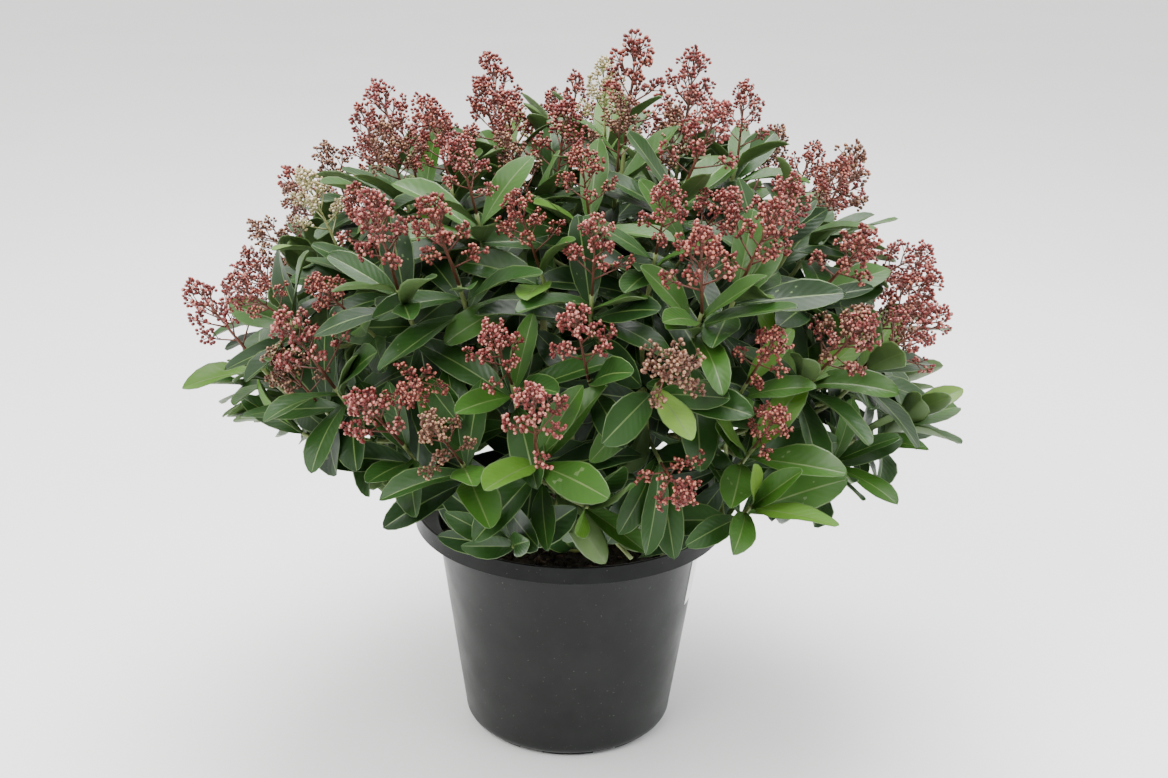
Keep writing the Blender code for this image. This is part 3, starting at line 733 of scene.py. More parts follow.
@dataclass
class Limbs:
    """The stem base, the stems that it forks into and the boughs that they bear.

    The collars are how much thicker a limb is at its start and at its end, and over what share of
    it. The waves are (along a limb, round it, share of the radius). Leaf scars are the crests of a
    wave along the limb, cut off at scar_cut.
    """

    crown: Crown
    base: StemBase = StemBase()
    soil_top: float = 0.219
    side_tilt: float = math.radians(60)
    fork_heading: float = math.radians(48)
    side_radii: Pair = (0.0066, 0.0054)
    fork_radius: float = 0.082
    fork_height: float = 0.322
    middle_top: float = 0.452
    bough_radii: Pair = (0.0048, 0.0036)
    collars: tuple[Pair, ...] = ((0.35, 0.07), (0.18, 0.05))
    waves: tuple[tuple[int, int, float], ...] = ((3, 1, 0.05), (7, 2, 0.035), (13, 3, 0.03), (19, 1, 0.02))
    scars: int = 11
    scar_phase: float = 6.0
    scar_height: float = 0.07
    scar_cut: float = 0.75
    points: int = 26
    sides: int = 14
    seed: int = 11
    limbs: list[Limb] = field(default_factory=list)
    feet: dict[str, tuple[Array, Array]] = field(default_factory=dict)

    def lay_out(self) -> None:
        """Works out every limb's path, and where each mass's stem begins."""
        knot = np.array((0.0, 0.0, self.soil_top + SEAT + self.base.height))
        top = np.array((self.crown.centre[0], self.crown.centre[1], self.middle_top))
        self.add("stem_middle", knot, UP, top, UP, (self.side_radii[0], self.bough_radii[1]))
        self.feet["foliage_top"] = (top, UP)
        for k in range(self.crown.side_stems):
            azimuth = self.crown.stem_azimuth(k)
            leaving = polar(azimuth, math.pi / 2 - self.side_tilt)
            arriving = polar(azimuth, self.fork_heading)
            fork = np.array((self.fork_radius * math.cos(azimuth), self.fork_radius * math.sin(azimuth),
                             self.fork_height))
            self.add(f"stem_side_{k + 1}", knot, leaving, fork, arriving, self.side_radii)
            for name, (bearer, direction) in self.crown.masses().items():
                if bearer != k + 1:
                    continue
                foot = self.crown.point(direction, self.crown.foot_share)
                heading = unit(self.crown.point(direction, self.crown.heart_share) - foot)
                away = unit(foot - fork)
                self.add(name.replace("foliage", "bough"), fork, away, foot, heading, self.bough_radii)
                self.feet[name] = (foot, heading)

    def add(self, name: str, start: Array, leaving: Array, end: Array, arriving: Array,
            radii: Pair) -> None:
        """Adds a limb along a curve, thicker for a short way at each end.

        Args:
            name: Its name.
            start: First point.
            leaving: Heading there.
            end: Last point.
            arriving: Heading there.
            radii: At its two ends.
        """
        path = bezier(start, leaving, end, arriving, self.points)
        share = np.linspace(0, 1, self.points)
        (start_swell, start_width), (end_swell, end_width) = self.collars
        collar = 1 + start_swell * bell(share, start_width) + end_swell * bell(1 - share, end_width)
        self.limbs.append(Limb(name, path, between(radii, share) * collar))

    def relief(self, rng: np.random.Generator, count: int) -> Array:
        """Swellings of the bark: slow waves along and round each limb, and leaf scars as low rings.

        Args:
            rng: Source of chance.
            count: Number of limbs.

        Returns:
            Shares of the radius, shape (count, points, sides).
        """
        along = np.linspace(0, 1, self.points)[None, :, None]
        around = angles_round(self.sides)[None, None, :]
        total = np.zeros((count, self.points, self.sides))
        for waves, turns, size in self.waves:
            phase = rng.uniform(0, FULL_TURN, (count, 1, 1))
            total += size * np.sin(along * waves * FULL_TURN + around * turns + phase)
        scars = np.cos(along * self.scars * FULL_TURN + rng.uniform(0, self.scar_phase, (count, 1, 1)))
        return total + self.scar_height * np.maximum(scars - self.scar_cut, 0) / (1 - self.scar_cut)

    def build(self, finish: BarkFinish) -> Piece:
        """Makes the one mesh that stands for the stem base, the stems and the boughs.

        Args:
            finish: The bark.

        Returns:
            The object.
        """
        rng = np.random.default_rng(self.seed)
        batch = Batch()
        paths = np.array([limb.path for limb in self.limbs])
        radii = np.array([limb.radii for limb in self.limbs])
        add_tubes(batch, paths, radii, self.sides, 0, self.relief(rng, len(paths)))
        self.base.add_to(batch, self.soil_top)
        obj = batch.build("limbs", [finish.material()])
        return placed(obj, ["stem_base"] + [limb.name for limb in self.limbs])


@dataclass
class Shoot:
    """One shoot: where its whorl of leaves is, which way it grows, and the path of its twig."""

    mass: str
    direction: Array
    reach: float
    blooms: bool
    main: bool
    number: int
    leaves: int = 0
    heading: Array = field(default_factory=lambda: UP)
    whorl: Array = field(default_factory=lambda: UP)
    path: Array = field(default_factory=lambda: UP)

    @property
    def leads(self) -> bool:
        """Whether it is the crown's leader, the first shoot dealt and the tallest."""
        return self.main and self.number == 0


class Mood(Enum):
    """How a panicle looks: the tones of its buds."""

    BRICK = 0
    ROSE = 1
    BROWN = 2
    CREAM = 3


@dataclass
class Growth:
    """Deals the shoots out over the crown, and bends their twigs, by the source's rule.

    The main shoots are the source's own. One whose panicle would be within draw_in_room of its
    mass's border is turned towards the mass's middle. The side shoots grow from them and are pushed
    apart. A shoot whose twig, from point free_from on, or whose whorl, less its hanging_room, would
    hang below the crown's underside is left out.
    """

    crown: Crown
    shoots: int = 110
    side_shoots: int = 50
    lowest: float = math.radians(-14)
    lowest_panicle: float = math.radians(13)
    lowest_bloom: float = 0.395
    waist: float = math.radians(-2)
    turn: float = 0.4
    jitter: float = 0.10
    reach_spread: float = 0.06
    rise: float = 0.80
    lowest_reach: float = 0.62
    hanging_room: float = 0.016
    twig_sag: float = 0.006
    free_from: int = 6
    side_root: int = 9
    side_turn: float = 1.9
    apart: float = 0.30
    push: float = 0.10
    push_rounds: int = 60
    dome_power: int = 4
    side_reach: float = 0.97
    panicle_length: float = 0.070
    dome_drop: float = 0.10
    whorl_depth: float = 0.034
    stalk_share: float = 1.15
    draw_in_room: float = 0.019
    draw_in_steps: int = 5
    draw_in_weight: float = 8.0
    unbend_steps: int = 4
    least_straightness: float = 0.45
    pull: float = 2.0
    curve_points: int = 14
    stalk_points: int = 5
    first_fork: float = 0.70
    last_fork: float = 0.96
    main_seed: int = 7000
    side_seed: int = 7500
    found: list[Shoot] = field(default_factory=list)
    stems: dict[str, tuple[Array, Array]] = field(default_factory=dict)

    def low_reach(self, elevation: float) -> float:
        """How far a shoot reaches: below its waist the crown draws in towards the pot."""
        share = (self.waist - elevation) / (self.waist - self.lowest)
        return between((1, self.lowest_reach), min(1.0, max(0.0, share)))

    def point_to(self, shoot: Shoot, direction: Array) -> None:
        """Places a shoot's whorl so that its panicle's tip is where the crown ends.

        The leader's is at the crown's own top, and the others' settle towards the dome's middle by
        the fourth power of the sine of their elevation.

        Args:
            shoot: The shoot.
            direction: Where in the crown it points.
        """
        shoot.direction = direction
        shoot.heading = unit(direction + UP * self.rise)
        drop = 0.0 if shoot.leads else self.dome_drop * max(0.0, direction[2]) ** self.dome_power
        shoot.whorl = (self.crown.point(direction, shoot.reach * (1 - drop))
                       - shoot.heading * self.panicle_length)

    def room_left(self, name: str, point: Array) -> float:
        """How far a point is from the nearest border of a mass's space.

        Args:
            name: The mass.
            point: The point.

        Returns:
            Metres, negative past the border.
        """
        hearts = self.crown.hearts()
        own = hearts[name]
        gaps = [-(point - own - (other - own) / 2) @ unit(other - own)
                for key, other in hearts.items() if key != name]
        return min(gaps)

    def deal(self, number: int, total: int, main: bool) -> Shoot:
        """Deals one shoot its place by the golden angle.

        Args:
            number: Which shoot.
            total: How many there are of its kind.
            main: Whether it is one of the source's own.

        Returns:
            The shoot, with no twig yet.
        """
        chance = random.Random((self.main_seed if main else self.side_seed) + number)
        jitter = [chance.uniform(-self.jitter, self.jitter) for _ in range(2)]
        rise = 1 + (math.sin(self.lowest) - 1) * (number + 0.5) / total
        elevation = math.asin(rise) + jitter[0]
        reach = 1 + chance.uniform(-self.reach_spread, self.reach_spread)
        blooms = elevation > self.lowest_panicle
        reach *= self.low_reach(elevation)
        azimuth = self.turn + number * GOLDEN_ANGLE + jitter[1] + (0.0 if main else self.side_turn)
        shoot = Shoot("", UP, reach, blooms, main, number)
        self.point_to(shoot, polar(azimuth, elevation))
        return shoot

    def spread_apart(self, mains: list[Shoot], sides: list[Shoot]) -> None:
        """Moves the side shoots out from under their neighbours.

        Args:
            mains: Shoots that stay.
            sides: Shoots that move.
        """
        directions = np.array([shoot.direction for shoot in mains + sides])
        free = len(mains)
        for _ in range(self.push_rounds):
            gaps = directions[free:, None] - directions[None]
            apart = np.linalg.norm(gaps, axis=-1)
            near = (apart > TOUCHING) & (apart < self.apart)
            push = np.where(near, (self.apart - apart) / np.maximum(apart, TOUCHING), 0)
            moved = directions[free:] + self.push * np.sum(gaps * push[..., None], axis=1)
            moved[:, 2] = np.maximum(moved[:, 2], math.sin(self.lowest))
            directions[free:] = unit(moved)
        for shoot, direction in zip(sides, directions[free:]):
            elevation = math.asin(direction[2])
            shoot.blooms = elevation > self.lowest_panicle
            shoot.reach = self.side_reach * self.low_reach(elevation)
            self.point_to(shoot, direction)

    def grow(self, feet: dict[str, tuple[Array, Array]]) -> None:
        """Deals every shoot, gives each to a mass, and works out its twig.

        Args:
            feet: Where each mass's stem begins, and its heading.
        """
        hearts = self.crown.hearts()
        masses = self.crown.masses()
        mains = [self.deal(number, self.shoots, True) for number in range(self.shoots)]
        for shoot in mains:
            shoot.mass = min(hearts, key=lambda name: np.linalg.norm(hearts[name] - shoot.whorl))
            for _ in range(self.draw_in_steps):
                middle = shoot.whorl + shoot.heading * self.panicle_length / 2
                if self.room_left(shoot.mass, middle) > self.draw_in_room:
                    break
                towards = masses[shoot.mass][1]
                self.point_to(shoot, unit(shoot.direction * self.draw_in_weight + towards))
        sides = [self.deal(number, self.side_shoots, False) for number in range(self.side_shoots)]
        self.spread_apart(mains, sides)
        for name, (foot, heading) in feet.items():
            own = [shoot for shoot in mains if shoot.mass == name]
            reach = np.linalg.norm(hearts[name] - foot) * self.crown.stem_share
            fork = foot + heading * reach
            self.stems[name] = (foot, fork)
            for number, shoot in enumerate(own):
                span = self.last_fork - self.first_fork
                share = self.first_fork + span * number / max(1, len(own) - 1)
                self.bend_twig(shoot, foot + (fork - foot) * share, heading)
        for shoot in sides:
            bearer = min(mains, key=lambda main: np.linalg.norm(main.whorl - shoot.whorl))
            shoot.mass = bearer.mass
            before, root, after = bearer.path[self.side_root - 1:self.side_root + 2]
            self.bend_twig(shoot, root, unit(after - before))
        drop = UP * self.hanging_room
        height, rise = self.crown.leaf_skirt
        sagging = (height - self.twig_sag, rise)
        self.found = [shoot for shoot in mains + sides
                      if self.crown.above_skirt((shoot.whorl - drop)[None])
                      and self.crown.above_skirt(shoot.path[self.free_from:], 0.0, sagging)]
        for shoot in self.found:
            shoot.blooms = shoot.blooms and shoot.whorl[2] > self.lowest_bloom

    def bend_twig(self, shoot: Shoot, root: Array, leaving: Array) -> None:
        """Works out a shoot's twig, from its root out to its bend and up its heading.

        Args:
            shoot: The shoot.
            root: Where it leaves its stem.
            leaving: The stem's heading there.
        """
        for _ in range(self.unbend_steps):
            bend = shoot.whorl - shoot.heading * self.whorl_depth * self.stalk_share
            if unit(bend - root) @ shoot.heading > self.least_straightness:
                break
            shoot.heading = unit(shoot.heading * self.pull + unit(shoot.whorl - root))
        bend = shoot.whorl - shoot.heading * self.whorl_depth * self.stalk_share
        away = unit(unit(bend - root) * self.pull + leaving)
        lower = bezier(root, away, bend, shoot.heading, self.curve_points)
        upper = bend + (shoot.whorl - bend) * np.linspace(0, 1, self.stalk_points)[1:, None]
        shoot.path = np.concatenate((lower, upper))


# ---- Twigs, leaves and panicles ----
class Tier(Enum):
    """The pieces that the foliage is made in, and the masses that each stands for."""

    UPPER_RIGHT = ("foliage_top", "foliage_upper_1", "foliage_upper_4")
    UPPER_LEFT = ("foliage_upper_2", "foliage_upper_3")
    LOWER_RIGHT = ("foliage_lower_1", "foliage_lower_2", "foliage_lower_7", "foliage_lower_8")
    LOWER_LEFT = ("foliage_lower_3", "foliage_lower_4", "foliage_lower_5", "foliage_lower_6")

    @property
    def label(self) -> str:
        """The tier's name in a piece's name."""
        return self.name.lower()


def placed(obj: Piece, nodes: list[str] | tuple[str, ...]) -> Piece:
    """Ties a piece to the frame.

    Args:
        obj: The piece.
        nodes: The CAD nodes that it stands for.

    Returns:
        The piece.
    """
    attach(obj, "root")
    if nodes:
        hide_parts(*nodes)
    return obj


@dataclass
class Twigs:
    """The masses' stems and their shoots' twigs."""

    growth: Growth
    stem_radii: Pair = (0.0036, 0.0028)
    main_radii: Pair = (0.0027, 0.0019)
    side_radii: Pair = (0.0021, 0.0017)
    stem_points: int = 8
    stem_sides: int = 10
    sides: int = 8
    collar: Pair = (0.5, 0.08)
    scars: int = 9
    scar_height: float = 0.10

    def build(self, old: BarkFinish, young: MattFinish) -> Piece:
        """Makes the twigs of the whole crown, older bark on the stems and green bark on the shoots.

        Args:
            old: The stems' bark.
            young: The shoots' bark.

        Returns:
            The object.
        """
        batch = Batch()
        stems = np.array([np.linspace(foot, fork, self.stem_points)
                          for foot, fork in self.growth.stems.values()])
        radii = np.linspace(*self.stem_radii, self.stem_points)
        add_tubes(batch, stems, np.broadcast_to(radii, stems.shape[:2]), self.stem_sides, 0)
        for main, ends in ((True, self.main_radii), (False, self.side_radii)):
            paths = np.array([shoot.path for shoot in self.growth.found if shoot.main == main])
            share = np.linspace(0, 1, paths.shape[1])
            radii = between(ends, share) * (1 + self.collar[0] * bell(share, self.collar[1]))
            rings = 1 + self.scar_height * np.maximum(np.cos(share * self.scars * FULL_TURN), 0)
            add_tubes(batch, paths, np.broadcast_to(radii * rings, paths.shape[:2]), self.sides, 1)
        obj = batch.build("twigs", [old.material(), young.material()])
        return placed(obj, list(self.growth.stems))


@dataclass
class LeafPlan:
    """One leaf: where it springs from, its own axes, its size, its bends and its tone."""

    base: Array
    ahead: Array
    across: Array
    face: Array
    length: float
    width: float
    bend: float
    fold: float
    twist: float
    tone: int
    mass: str


class Part(Enum):
    """The part of a leaf that a face shows, by its material slot; a blade's slot is its tone."""

    BLADE = -1
    RIB = 5
    MARGIN = 6
    UNDER = 7


@dataclass
class Leaves:
    """The whorls of leaves, dealt round each shoot by the golden angle.

    A leaf that doesn't fit is turned by try_turn, shrunk and closed up a little for each try, and
    left out after the last one. Inner leaves are the old ones on the twig below the whorl.
    """

    growth: Growth
    length: float = 0.094
    length_by_age: Pair = (0.80, 1.10)
    length_jitter: Pair = (0.86, 1.14)
    width_share: float = 0.355
    width_jitter: Pair = (0.88, 1.12)
    tries: int = 14
    try_turn: float = math.radians(27)
    shrink: float = 0.025
    close_up: float = 0.045
    spacing: float = 0.0032
    nearby: float = 0.11
    pot_room: float = 0.004
    main_leaves: int = 9
    side_leaves: int = 8
    inner_leaves: int = 6
    inner_first: int = 11
    inner_step: int = 2
    fewest_leaves: int = 4
    tilts: Pair = (math.radians(24), math.radians(76))
    tilt_jitter: Pair = (-0.22, 0.20)
    bend: Pair = (0.0, 0.60)
    bend_with_age: float = 0.15
    hang: float = 0.06
    fold: Pair = (0.08, 0.50)
    twist: float = 0.55
    tone_steps: tuple[float, ...] = (0.10, 0.24, 0.44, 0.70)
    tone_jitter: float = 0.22
    darkest_inner: float = 0.7
    # Painted shade: leaves below shade_below take darker tones, deepening over shade_depth.
    shade_below: float = 0.42
    shade_depth: float = 0.2
    age_and_shade_weights: Triple = (0.55, 0.35, 0.25)
    probe_rows: tuple[float, ...] = (0.20, 0.40, 0.62, 0.84, 1.0)
    probe_widths: tuple[float, ...] = (0.60, 0.98, 1.0, 0.70, 0.12)
    probe_columns: tuple[float, ...] = (-1.0, 0.0, 1.0)
    rows: tuple[float, ...] = (0.055, 0.16, 0.31, 0.47, 0.63, 0.78, 0.90, 0.97)
    columns: tuple[float, ...] = (-1.0, -0.93, -0.48, -0.045, 0.045, 0.48, 0.93, 1.0)
    under_columns: tuple[float, ...] = (-0.88, -0.06, 0.06, 0.88)
    thickness: float = 0.0007
    base_power: float = 0.95
    tip_power: float = 0.68
    stalk: float = 0.03
    stalk_width: float = 0.075
    ripple: float = 0.05
    ripples: float = 9.0
    ripple_offset: float = 1.7
    phase_scale: float = 997.0
    phases: float = 6.28
    seed: int = 9000
    plans: list[LeafPlan] = field(default_factory=list)
    centres: list[Array] = field(default_factory=list)
    laid: list[Array] = field(default_factory=list)
    webs: list[BVHTree] = field(default_factory=list)

    def centre_line(self, plan: LeafPlan, share: Array) -> Array:
        """Points along a leaf's midrib, an arc that bends towards its underside.

        At share t the arc has turned by bend times t; the point is the integral of its heading,
        (sin(bend t) / bend) ahead and -((1 - cos(bend t)) / bend) along the face.

        Args:
            plan: The leaf.
            share: Shares of its length, shape (n,).

        Returns:
            Points, shape (n, 3).
        """
        bend = max(abs(plan.bend), STRAIGHT)
        turned = bend * share
        out = np.sin(turned) / bend * plan.length
        down = (1 - np.cos(turned)) / bend * plan.length
        return plan.base + out[:, None] * plan.ahead - down[:, None] * plan.face

    def probes(self, plan: LeafPlan) -> Array:
        """Points spread over a leaf, past its stalk, for the tests of room.

        Args:
            plan: The leaf.

        Returns:
            Points, shape (15, 3).
        """
        spine = self.centre_line(plan, np.array(self.probe_rows))
        half = plan.width * 0.5 * np.array(self.probe_widths)
        sides = np.array(self.probe_columns)
        return (spine[:, None] + sides[None, :, None] * half[:, None, None] * plan.across).reshape(-1, 3)

    @staticmethod
    def web(probes: Array) -> BVHTree:
        """A leaf's probes joined into a coarse sheet, for the test of crossing.

        Args:
            probes: Points on the leaf, shape (15, 3).

        Returns:
            The tree.
        """
        quads = [(3 * row + side, 3 * row + side + 1, 3 * row + side + 4, 3 * row + side + 3)
                 for row in range(len(probes) // 3 - 1) for side in (0, 1)]
        return BVHTree.FromPolygons(probes.tolist(), quads)

    def fits(self, probes: Array, keep_off: Array, radii: Array) -> bool:
        """Whether a leaf is clear of the pot, the panicles and the leaves already laid.

        Args:
            probes: Points on the leaf.
            keep_off: Middles of balls to keep out of.
            radii: The balls' radii.

        Returns:
            True if it fits.
        """
        crown = self.growth.crown
        if not crown.above_skirt(probes, self.pot_room, crown.leaf_skirt):
            return False
        off = np.linalg.norm(probes[:, None] - keep_off[None], axis=-1) - radii
        if off.min() < 0:
            return False
        if not self.centres:
            return True
        near = np.linalg.norm(np.array(self.centres) - probes.mean(0), axis=-1) < self.nearby
        if not near.any():
            return True
        others = np.array(self.laid)[near].reshape(-1, 3)
        if np.linalg.norm(probes[:, None] - others[None], axis=-1).min() < self.spacing:
            return False
        own = self.web(probes)
        return not any(own.overlap(self.webs[number]) for number in np.flatnonzero(near))

    def plan_all(self, keep_off: Array, radii: Array) -> None:
        """Places every leaf, whorl by whorl, and drops the shoots that are left nearly bare.

        Args:
            keep_off: Middles of the balls that panicles fill.
            radii: Their radii.
        """
        for number, shoot in enumerate(self.growth.found):
            chance = random.Random(self.seed + number)
            count = self.main_leaves if shoot.main else self.side_leaves
            turn = chance.uniform(0, FULL_TURN)
            youth = chance.random()
            inner = self.inner_leaves if shoot.main else self.inner_leaves // 2
            for j in range(count + inner):
                share = min(1.0, j / (count - 1))
                if j < count:
                    base = shoot.whorl - shoot.heading * self.growth.whorl_depth * share
                    axis = shoot.heading
                else:
                    step = self.inner_first - (j - count) * self.inner_step
                    base, axis = shoot.path[step], unit(shoot.path[step + 1] - shoot.path[step - 1])
                tilt = between(self.tilts, share) + chance.uniform(*self.tilt_jitter)
                length = self.length * between(self.length_by_age, share)
                length *= chance.uniform(*self.length_jitter)
                bend = chance.uniform(*self.bend) + self.bend_with_age * share
                turn += GOLDEN_ANGLE
                for k in range(self.tries):
                    angle = turn + (k + 1) // 2 * self.try_turn * (-1) ** k
                    side = turned_about(across_of(axis), axis, angle)
                    opening = max(self.tilts[0] / 2, tilt - self.close_up * k)
                    ahead = axis * math.cos(opening) + side * math.sin(opening)
                    ahead = unit(ahead - UP * self.hang * share)
                    across = unit(np.cross(axis, ahead))
                    tone = self.tone(chance, share, youth, base, j >= count)
                    fitted = length * (1 - self.shrink * k)
                    width = fitted * self.width_share * chance.uniform(*self.width_jitter)
                    plan = LeafPlan(base, ahead, across, np.cross(ahead, across), fitted, width, bend,
                                    chance.uniform(*self.fold), chance.uniform(-self.twist, self.twist),
                                    tone, shoot.mass)
                    probes = self.probes(plan)
                    if self.fits(probes, keep_off, radii):
                        self.centres.append(probes.mean(0))
                        self.laid.append(probes)
                        self.webs.append(self.web(probes))
                        self.plans.append(plan)
                        shoot.leaves += 1
                        break
        self.growth.found = [shoot for shoot in self.growth.found
                             if shoot.blooms or shoot.leaves >= self.fewest_leaves]

    def tone(self, chance: random.Random, share: float, youth: float, base: Array,
             inner: bool) -> int:
        """Picks a leaf's tone: young leaves at the top of a whorl, the darkest low down and inside; the
        darkening low down is painted shade.

        Args:
            chance: Source of chance.
            share: 0 for a whorl's top leaf, 1 for its lowest.
            youth: The shoot's own youth, 0 to 1.
            base: Where the leaf springs from.
            inner: Whether it is an old leaf below the whorl.

        Returns:
            0, the darkest, to 4, the youngest.
        """
        if inner:
            return 0 if chance.random() < self.darkest_inner else 1
        # Painted shade: the lower a leaf sits, the darker its tone, added to its age.
        low = max(0.0, self.shade_below - base[2]) / self.shade_depth
        by_place, by_shoot, by_depth = self.age_and_shade_weights
        age_and_shade = by_place * share + by_shoot * (1 - youth) + by_depth * low
        age_and_shade += chance.uniform(-self.tone_jitter, self.tone_jitter)
        return sum(age_and_shade < step for step in self.tone_steps)

    def outline(self, share: Array) -> Array:
        """Half-widths of a blade as shares of its greatest: t^base (1 - t)^tip over a narrow stalk.

        Args:
            share: Shares of the length.

        Returns:
            Shares of the greatest half-width.
        """
        low, high = self.base_power, self.tip_power
        peak = low / (low + high)
        full = peak ** low * (1 - peak) ** high
        body = np.maximum(share - self.stalk, 0) ** low * (1 - share) ** high / full
        return np.maximum(body, self.stalk_width * (1 - share))

    def build(self, tier: Tier, blades: list[Material], rib: Material,
              margin: Material, under: Material) -> Piece:
        """Makes the leaves of one tier as thin closed blades.

        A vertex at share t of the length and s of the half-width w is c(t) + s w a + n (|s| w tan f
        + ripple), where c is the midrib's arc, a the blade's crosswise axis turned by the twist, n
        its normal and f the fold. The under side is the same surface, lowered by the thickness.

        Args:
            tier: Which masses.
            blades: The five tones.
            rib: The midrib.
            margin: The pale edge.
            under: The under side.

        Returns:
            The object.
        """
        plans = [plan for plan in self.plans if plan.mass in tier.value]
        share = np.array(self.rows)[None, :, None]
        column = np.array(self.columns + self.under_columns)[None, None, :]
        below = np.array([0.0] * len(self.columns) + [1.0] * len(self.under_columns))[None, None, :]

        def each(key: str) -> Array:
            """One attribute of every leaf, ready to spread over rows and columns."""
            return np.array([getattr(plan, key) for plan in plans])[:, None, None]

        length, width, fold, twist = each("length"), each("width"), each("fold"), each("twist")
        ahead, across, face, base = each("ahead"), each("across"), each("face"), each("base")
        bend = np.maximum(each("bend"), STRAIGHT)
        phase = np.fmod(base[..., 0] * self.phase_scale, self.phases)

        def surface(t: Array, s: Array, low: Array) -> Array:
            """Points on every leaf.

            Args:
                t: Shares of the length.
                s: Shares of the half-width, negative on one side.
                low: 1 on the under side, 0 on the upper.

            Returns:
                Shape (leaves, rows, columns, 3).
            """
            turned = (bend * t)[..., None]
            chord = np.sin(turned) * ahead - (1 - np.cos(turned)) * face
            spine = base + chord / bend[..., None] * length[..., None]
            normal = np.cos(turned) * face + np.sin(turned) * ahead
            roll = (twist * t)[..., None]
            side = across * np.cos(roll) + normal * np.sin(roll)
            lift = normal * np.cos(roll) - across * np.sin(roll)
            half = width * 0.5 * self.outline(t)
            wave = np.sin(t * self.ripples + phase + (s > 0) * self.ripple_offset)
            ripple = self.ripple * width * np.abs(s) * wave
            rise = np.abs(s) * half * np.tan(fold) + ripple - low * self.thickness
            return spine + (s * half)[..., None] * side + rise[..., None] * lift

        rows = surface(share, column, below)
        count, n_rows, n_columns = rows.shape[:3]
        zero = np.zeros((count, 1, 1))
        stalk = surface(zero, zero, zero).reshape(count, 1, 3)
        tip = surface(zero + 1.0, zero, zero).reshape(count, 1, 3)
        vertices = np.concatenate((rows.reshape(count, -1, 3), stalk, tip), axis=1)
        loop = [*range(len(self.columns)), *reversed(range(len(self.columns), n_columns))]
        quads, fans = (faces[:, ::-1] for faces in loop_faces(n_rows, n_columns, np.array(loop)))
        blade, edge, vein, back = Part.BLADE.value, Part.MARGIN.value, Part.RIB.value, Part.UNDER.value
        parts = np.array((edge, blade, blade, vein, blade, blade, edge, edge, back, vein, back, edge))
        tones = np.array([plan.tone for plan in plans])[:, None]
        quad_slots, fan_slots = (np.where(part < 0, tones, part).ravel()
                                 for part in (np.tile(parts, n_rows - 1), np.tile(parts, 2)))
        uv_rows = np.stack(np.broadcast_arrays(share[0], column[0] * 0.5 + 0.5), -1).reshape(-1, 2)
        uvs = np.tile(np.concatenate((uv_rows, ((0.0, 0.5), (1.0, 0.5)))), (count, 1))
        batch = Batch()
        stride = n_rows * n_columns + 2
        batch.add(vertices.reshape(-1, 3), copies(quads, count, stride), copies(fans, count, stride),
                  quad_slots, fan_slots, uvs)
        obj = batch.build(f"leaves_{tier.label}", [*blades, rib, margin, under])
        return placed(obj, tier.value)


@dataclass
class PanicleShape:
    """One pattern of panicle, a unit long: its stalks, and its buds as (middle, heading, size).

    Branches leave the rachis by the golden angle, steeper and shorter towards its top. Each bears
    pedicels from its first stretch on, with one bud at a pedicel's end and two beside it, which
    are set (ahead, aside) of it.
    """

    seed: int
    branches: int = 13
    heights: Pair = (0.22, 0.93)
    height_power: float = 0.92
    azimuth_jitter: float = 0.25
    elevations: Pair = (33.0, 68.0)
    elevation_jitter: float = 8.0
    spread: float = 0.42
    taper: float = 0.74
    spread_jitter: Pair = (0.82, 1.12)
    upturn: float = 0.5
    twigs: tuple[tuple[float, int], ...] = ((0.5, 7), (0.8, 5), (math.inf, 4))
    first_twig: float = 0.44
    twig_power: float = 0.75
    twig_jitter: float = 0.4
    end_lean: float = 0.35
    side_lean: float = 0.95
    lift: float = 0.25
    pedicel: Pair = (0.065, 0.125)
    end_bud: Pair = (0.018, 0.004)
    side_bud: Pair = (-0.006, 0.034)
    side_buds: int = 2
    bud_turn: float = 2.1
    bud_lean: float = 0.5
    bud_radius: float = 0.0210
    bud_jitter: Pair = (0.80, 1.12)
    rachis_heights: tuple[float, ...] = (-0.06, 0.3, 0.62, 0.95)
    rachis: Array = field(init=False)
    limbs: Array = field(init=False)
    pedicels: Array = field(init=False)
    buds: Array = field(init=False)
    shades: Array = field(init=False)

    def __post_init__(self) -> None:
        """Grows the pattern."""
        rng = np.random.default_rng(self.seed)
        limbs, pedicels, buds, shades = [], [], [], []
        for i in range(self.branches):
            share = i / (self.branches - 1)
            foot = UP * between(self.heights, share ** self.height_power)
            azimuth = i * GOLDEN_ANGLE + rng.uniform(-self.azimuth_jitter, self.azimuth_jitter)
            elevation = math.radians(between(self.elevations, share)
                                     + rng.uniform(-self.elevation_jitter, self.elevation_jitter))
            reach = self.spread * (1 - self.taper * share) * rng.uniform(*self.spread_jitter)
            out = polar(azimuth, elevation)
            end = foot + out * reach
            limbs.append(bezier(foot, out, end, unit(out + UP * self.upturn), len(self.rachis_heights)))
            twigs = next(count for limit, count in self.twigs if share < limit)
            for j in range(twigs):
                along = between((self.first_twig, 1.0), ((j + 1) / twigs) ** self.twig_power)
                root = foot + (end - foot) * along
                turn = j * GOLDEN_ANGLE + rng.uniform(-self.twig_jitter, self.twig_jitter)
                side = turned_about(across_of(out), out, turn)
                lean = self.end_lean if j == twigs - 1 else self.side_lean
                heading = unit(out + side * lean + UP * self.lift)
                tip = root + heading * rng.uniform(*self.pedicel)
                pedicels.append(np.array((root, tip)))
                for k in range(1 + self.side_buds):
                    turn = k * self.bud_turn + rng.uniform(0, 1)
                    offset = turned_about(across_of(heading), heading, turn)
                    ahead, aside = self.side_bud if k else self.end_bud
                    centre = tip + heading * ahead + offset * aside
                    size = self.bud_radius * rng.uniform(*self.bud_jitter)
                    facing = unit(heading + offset * self.bud_lean * (k > 0))
                    buds.append(np.concatenate((centre, facing, (size,))))
                    shades.append(rng.random())
        self.rachis = np.array([UP * height for height in self.rachis_heights])
        self.limbs, self.pedicels = np.array(limbs), np.array(pedicels)
        self.buds, self.shades = np.array(buds), np.array(shades)


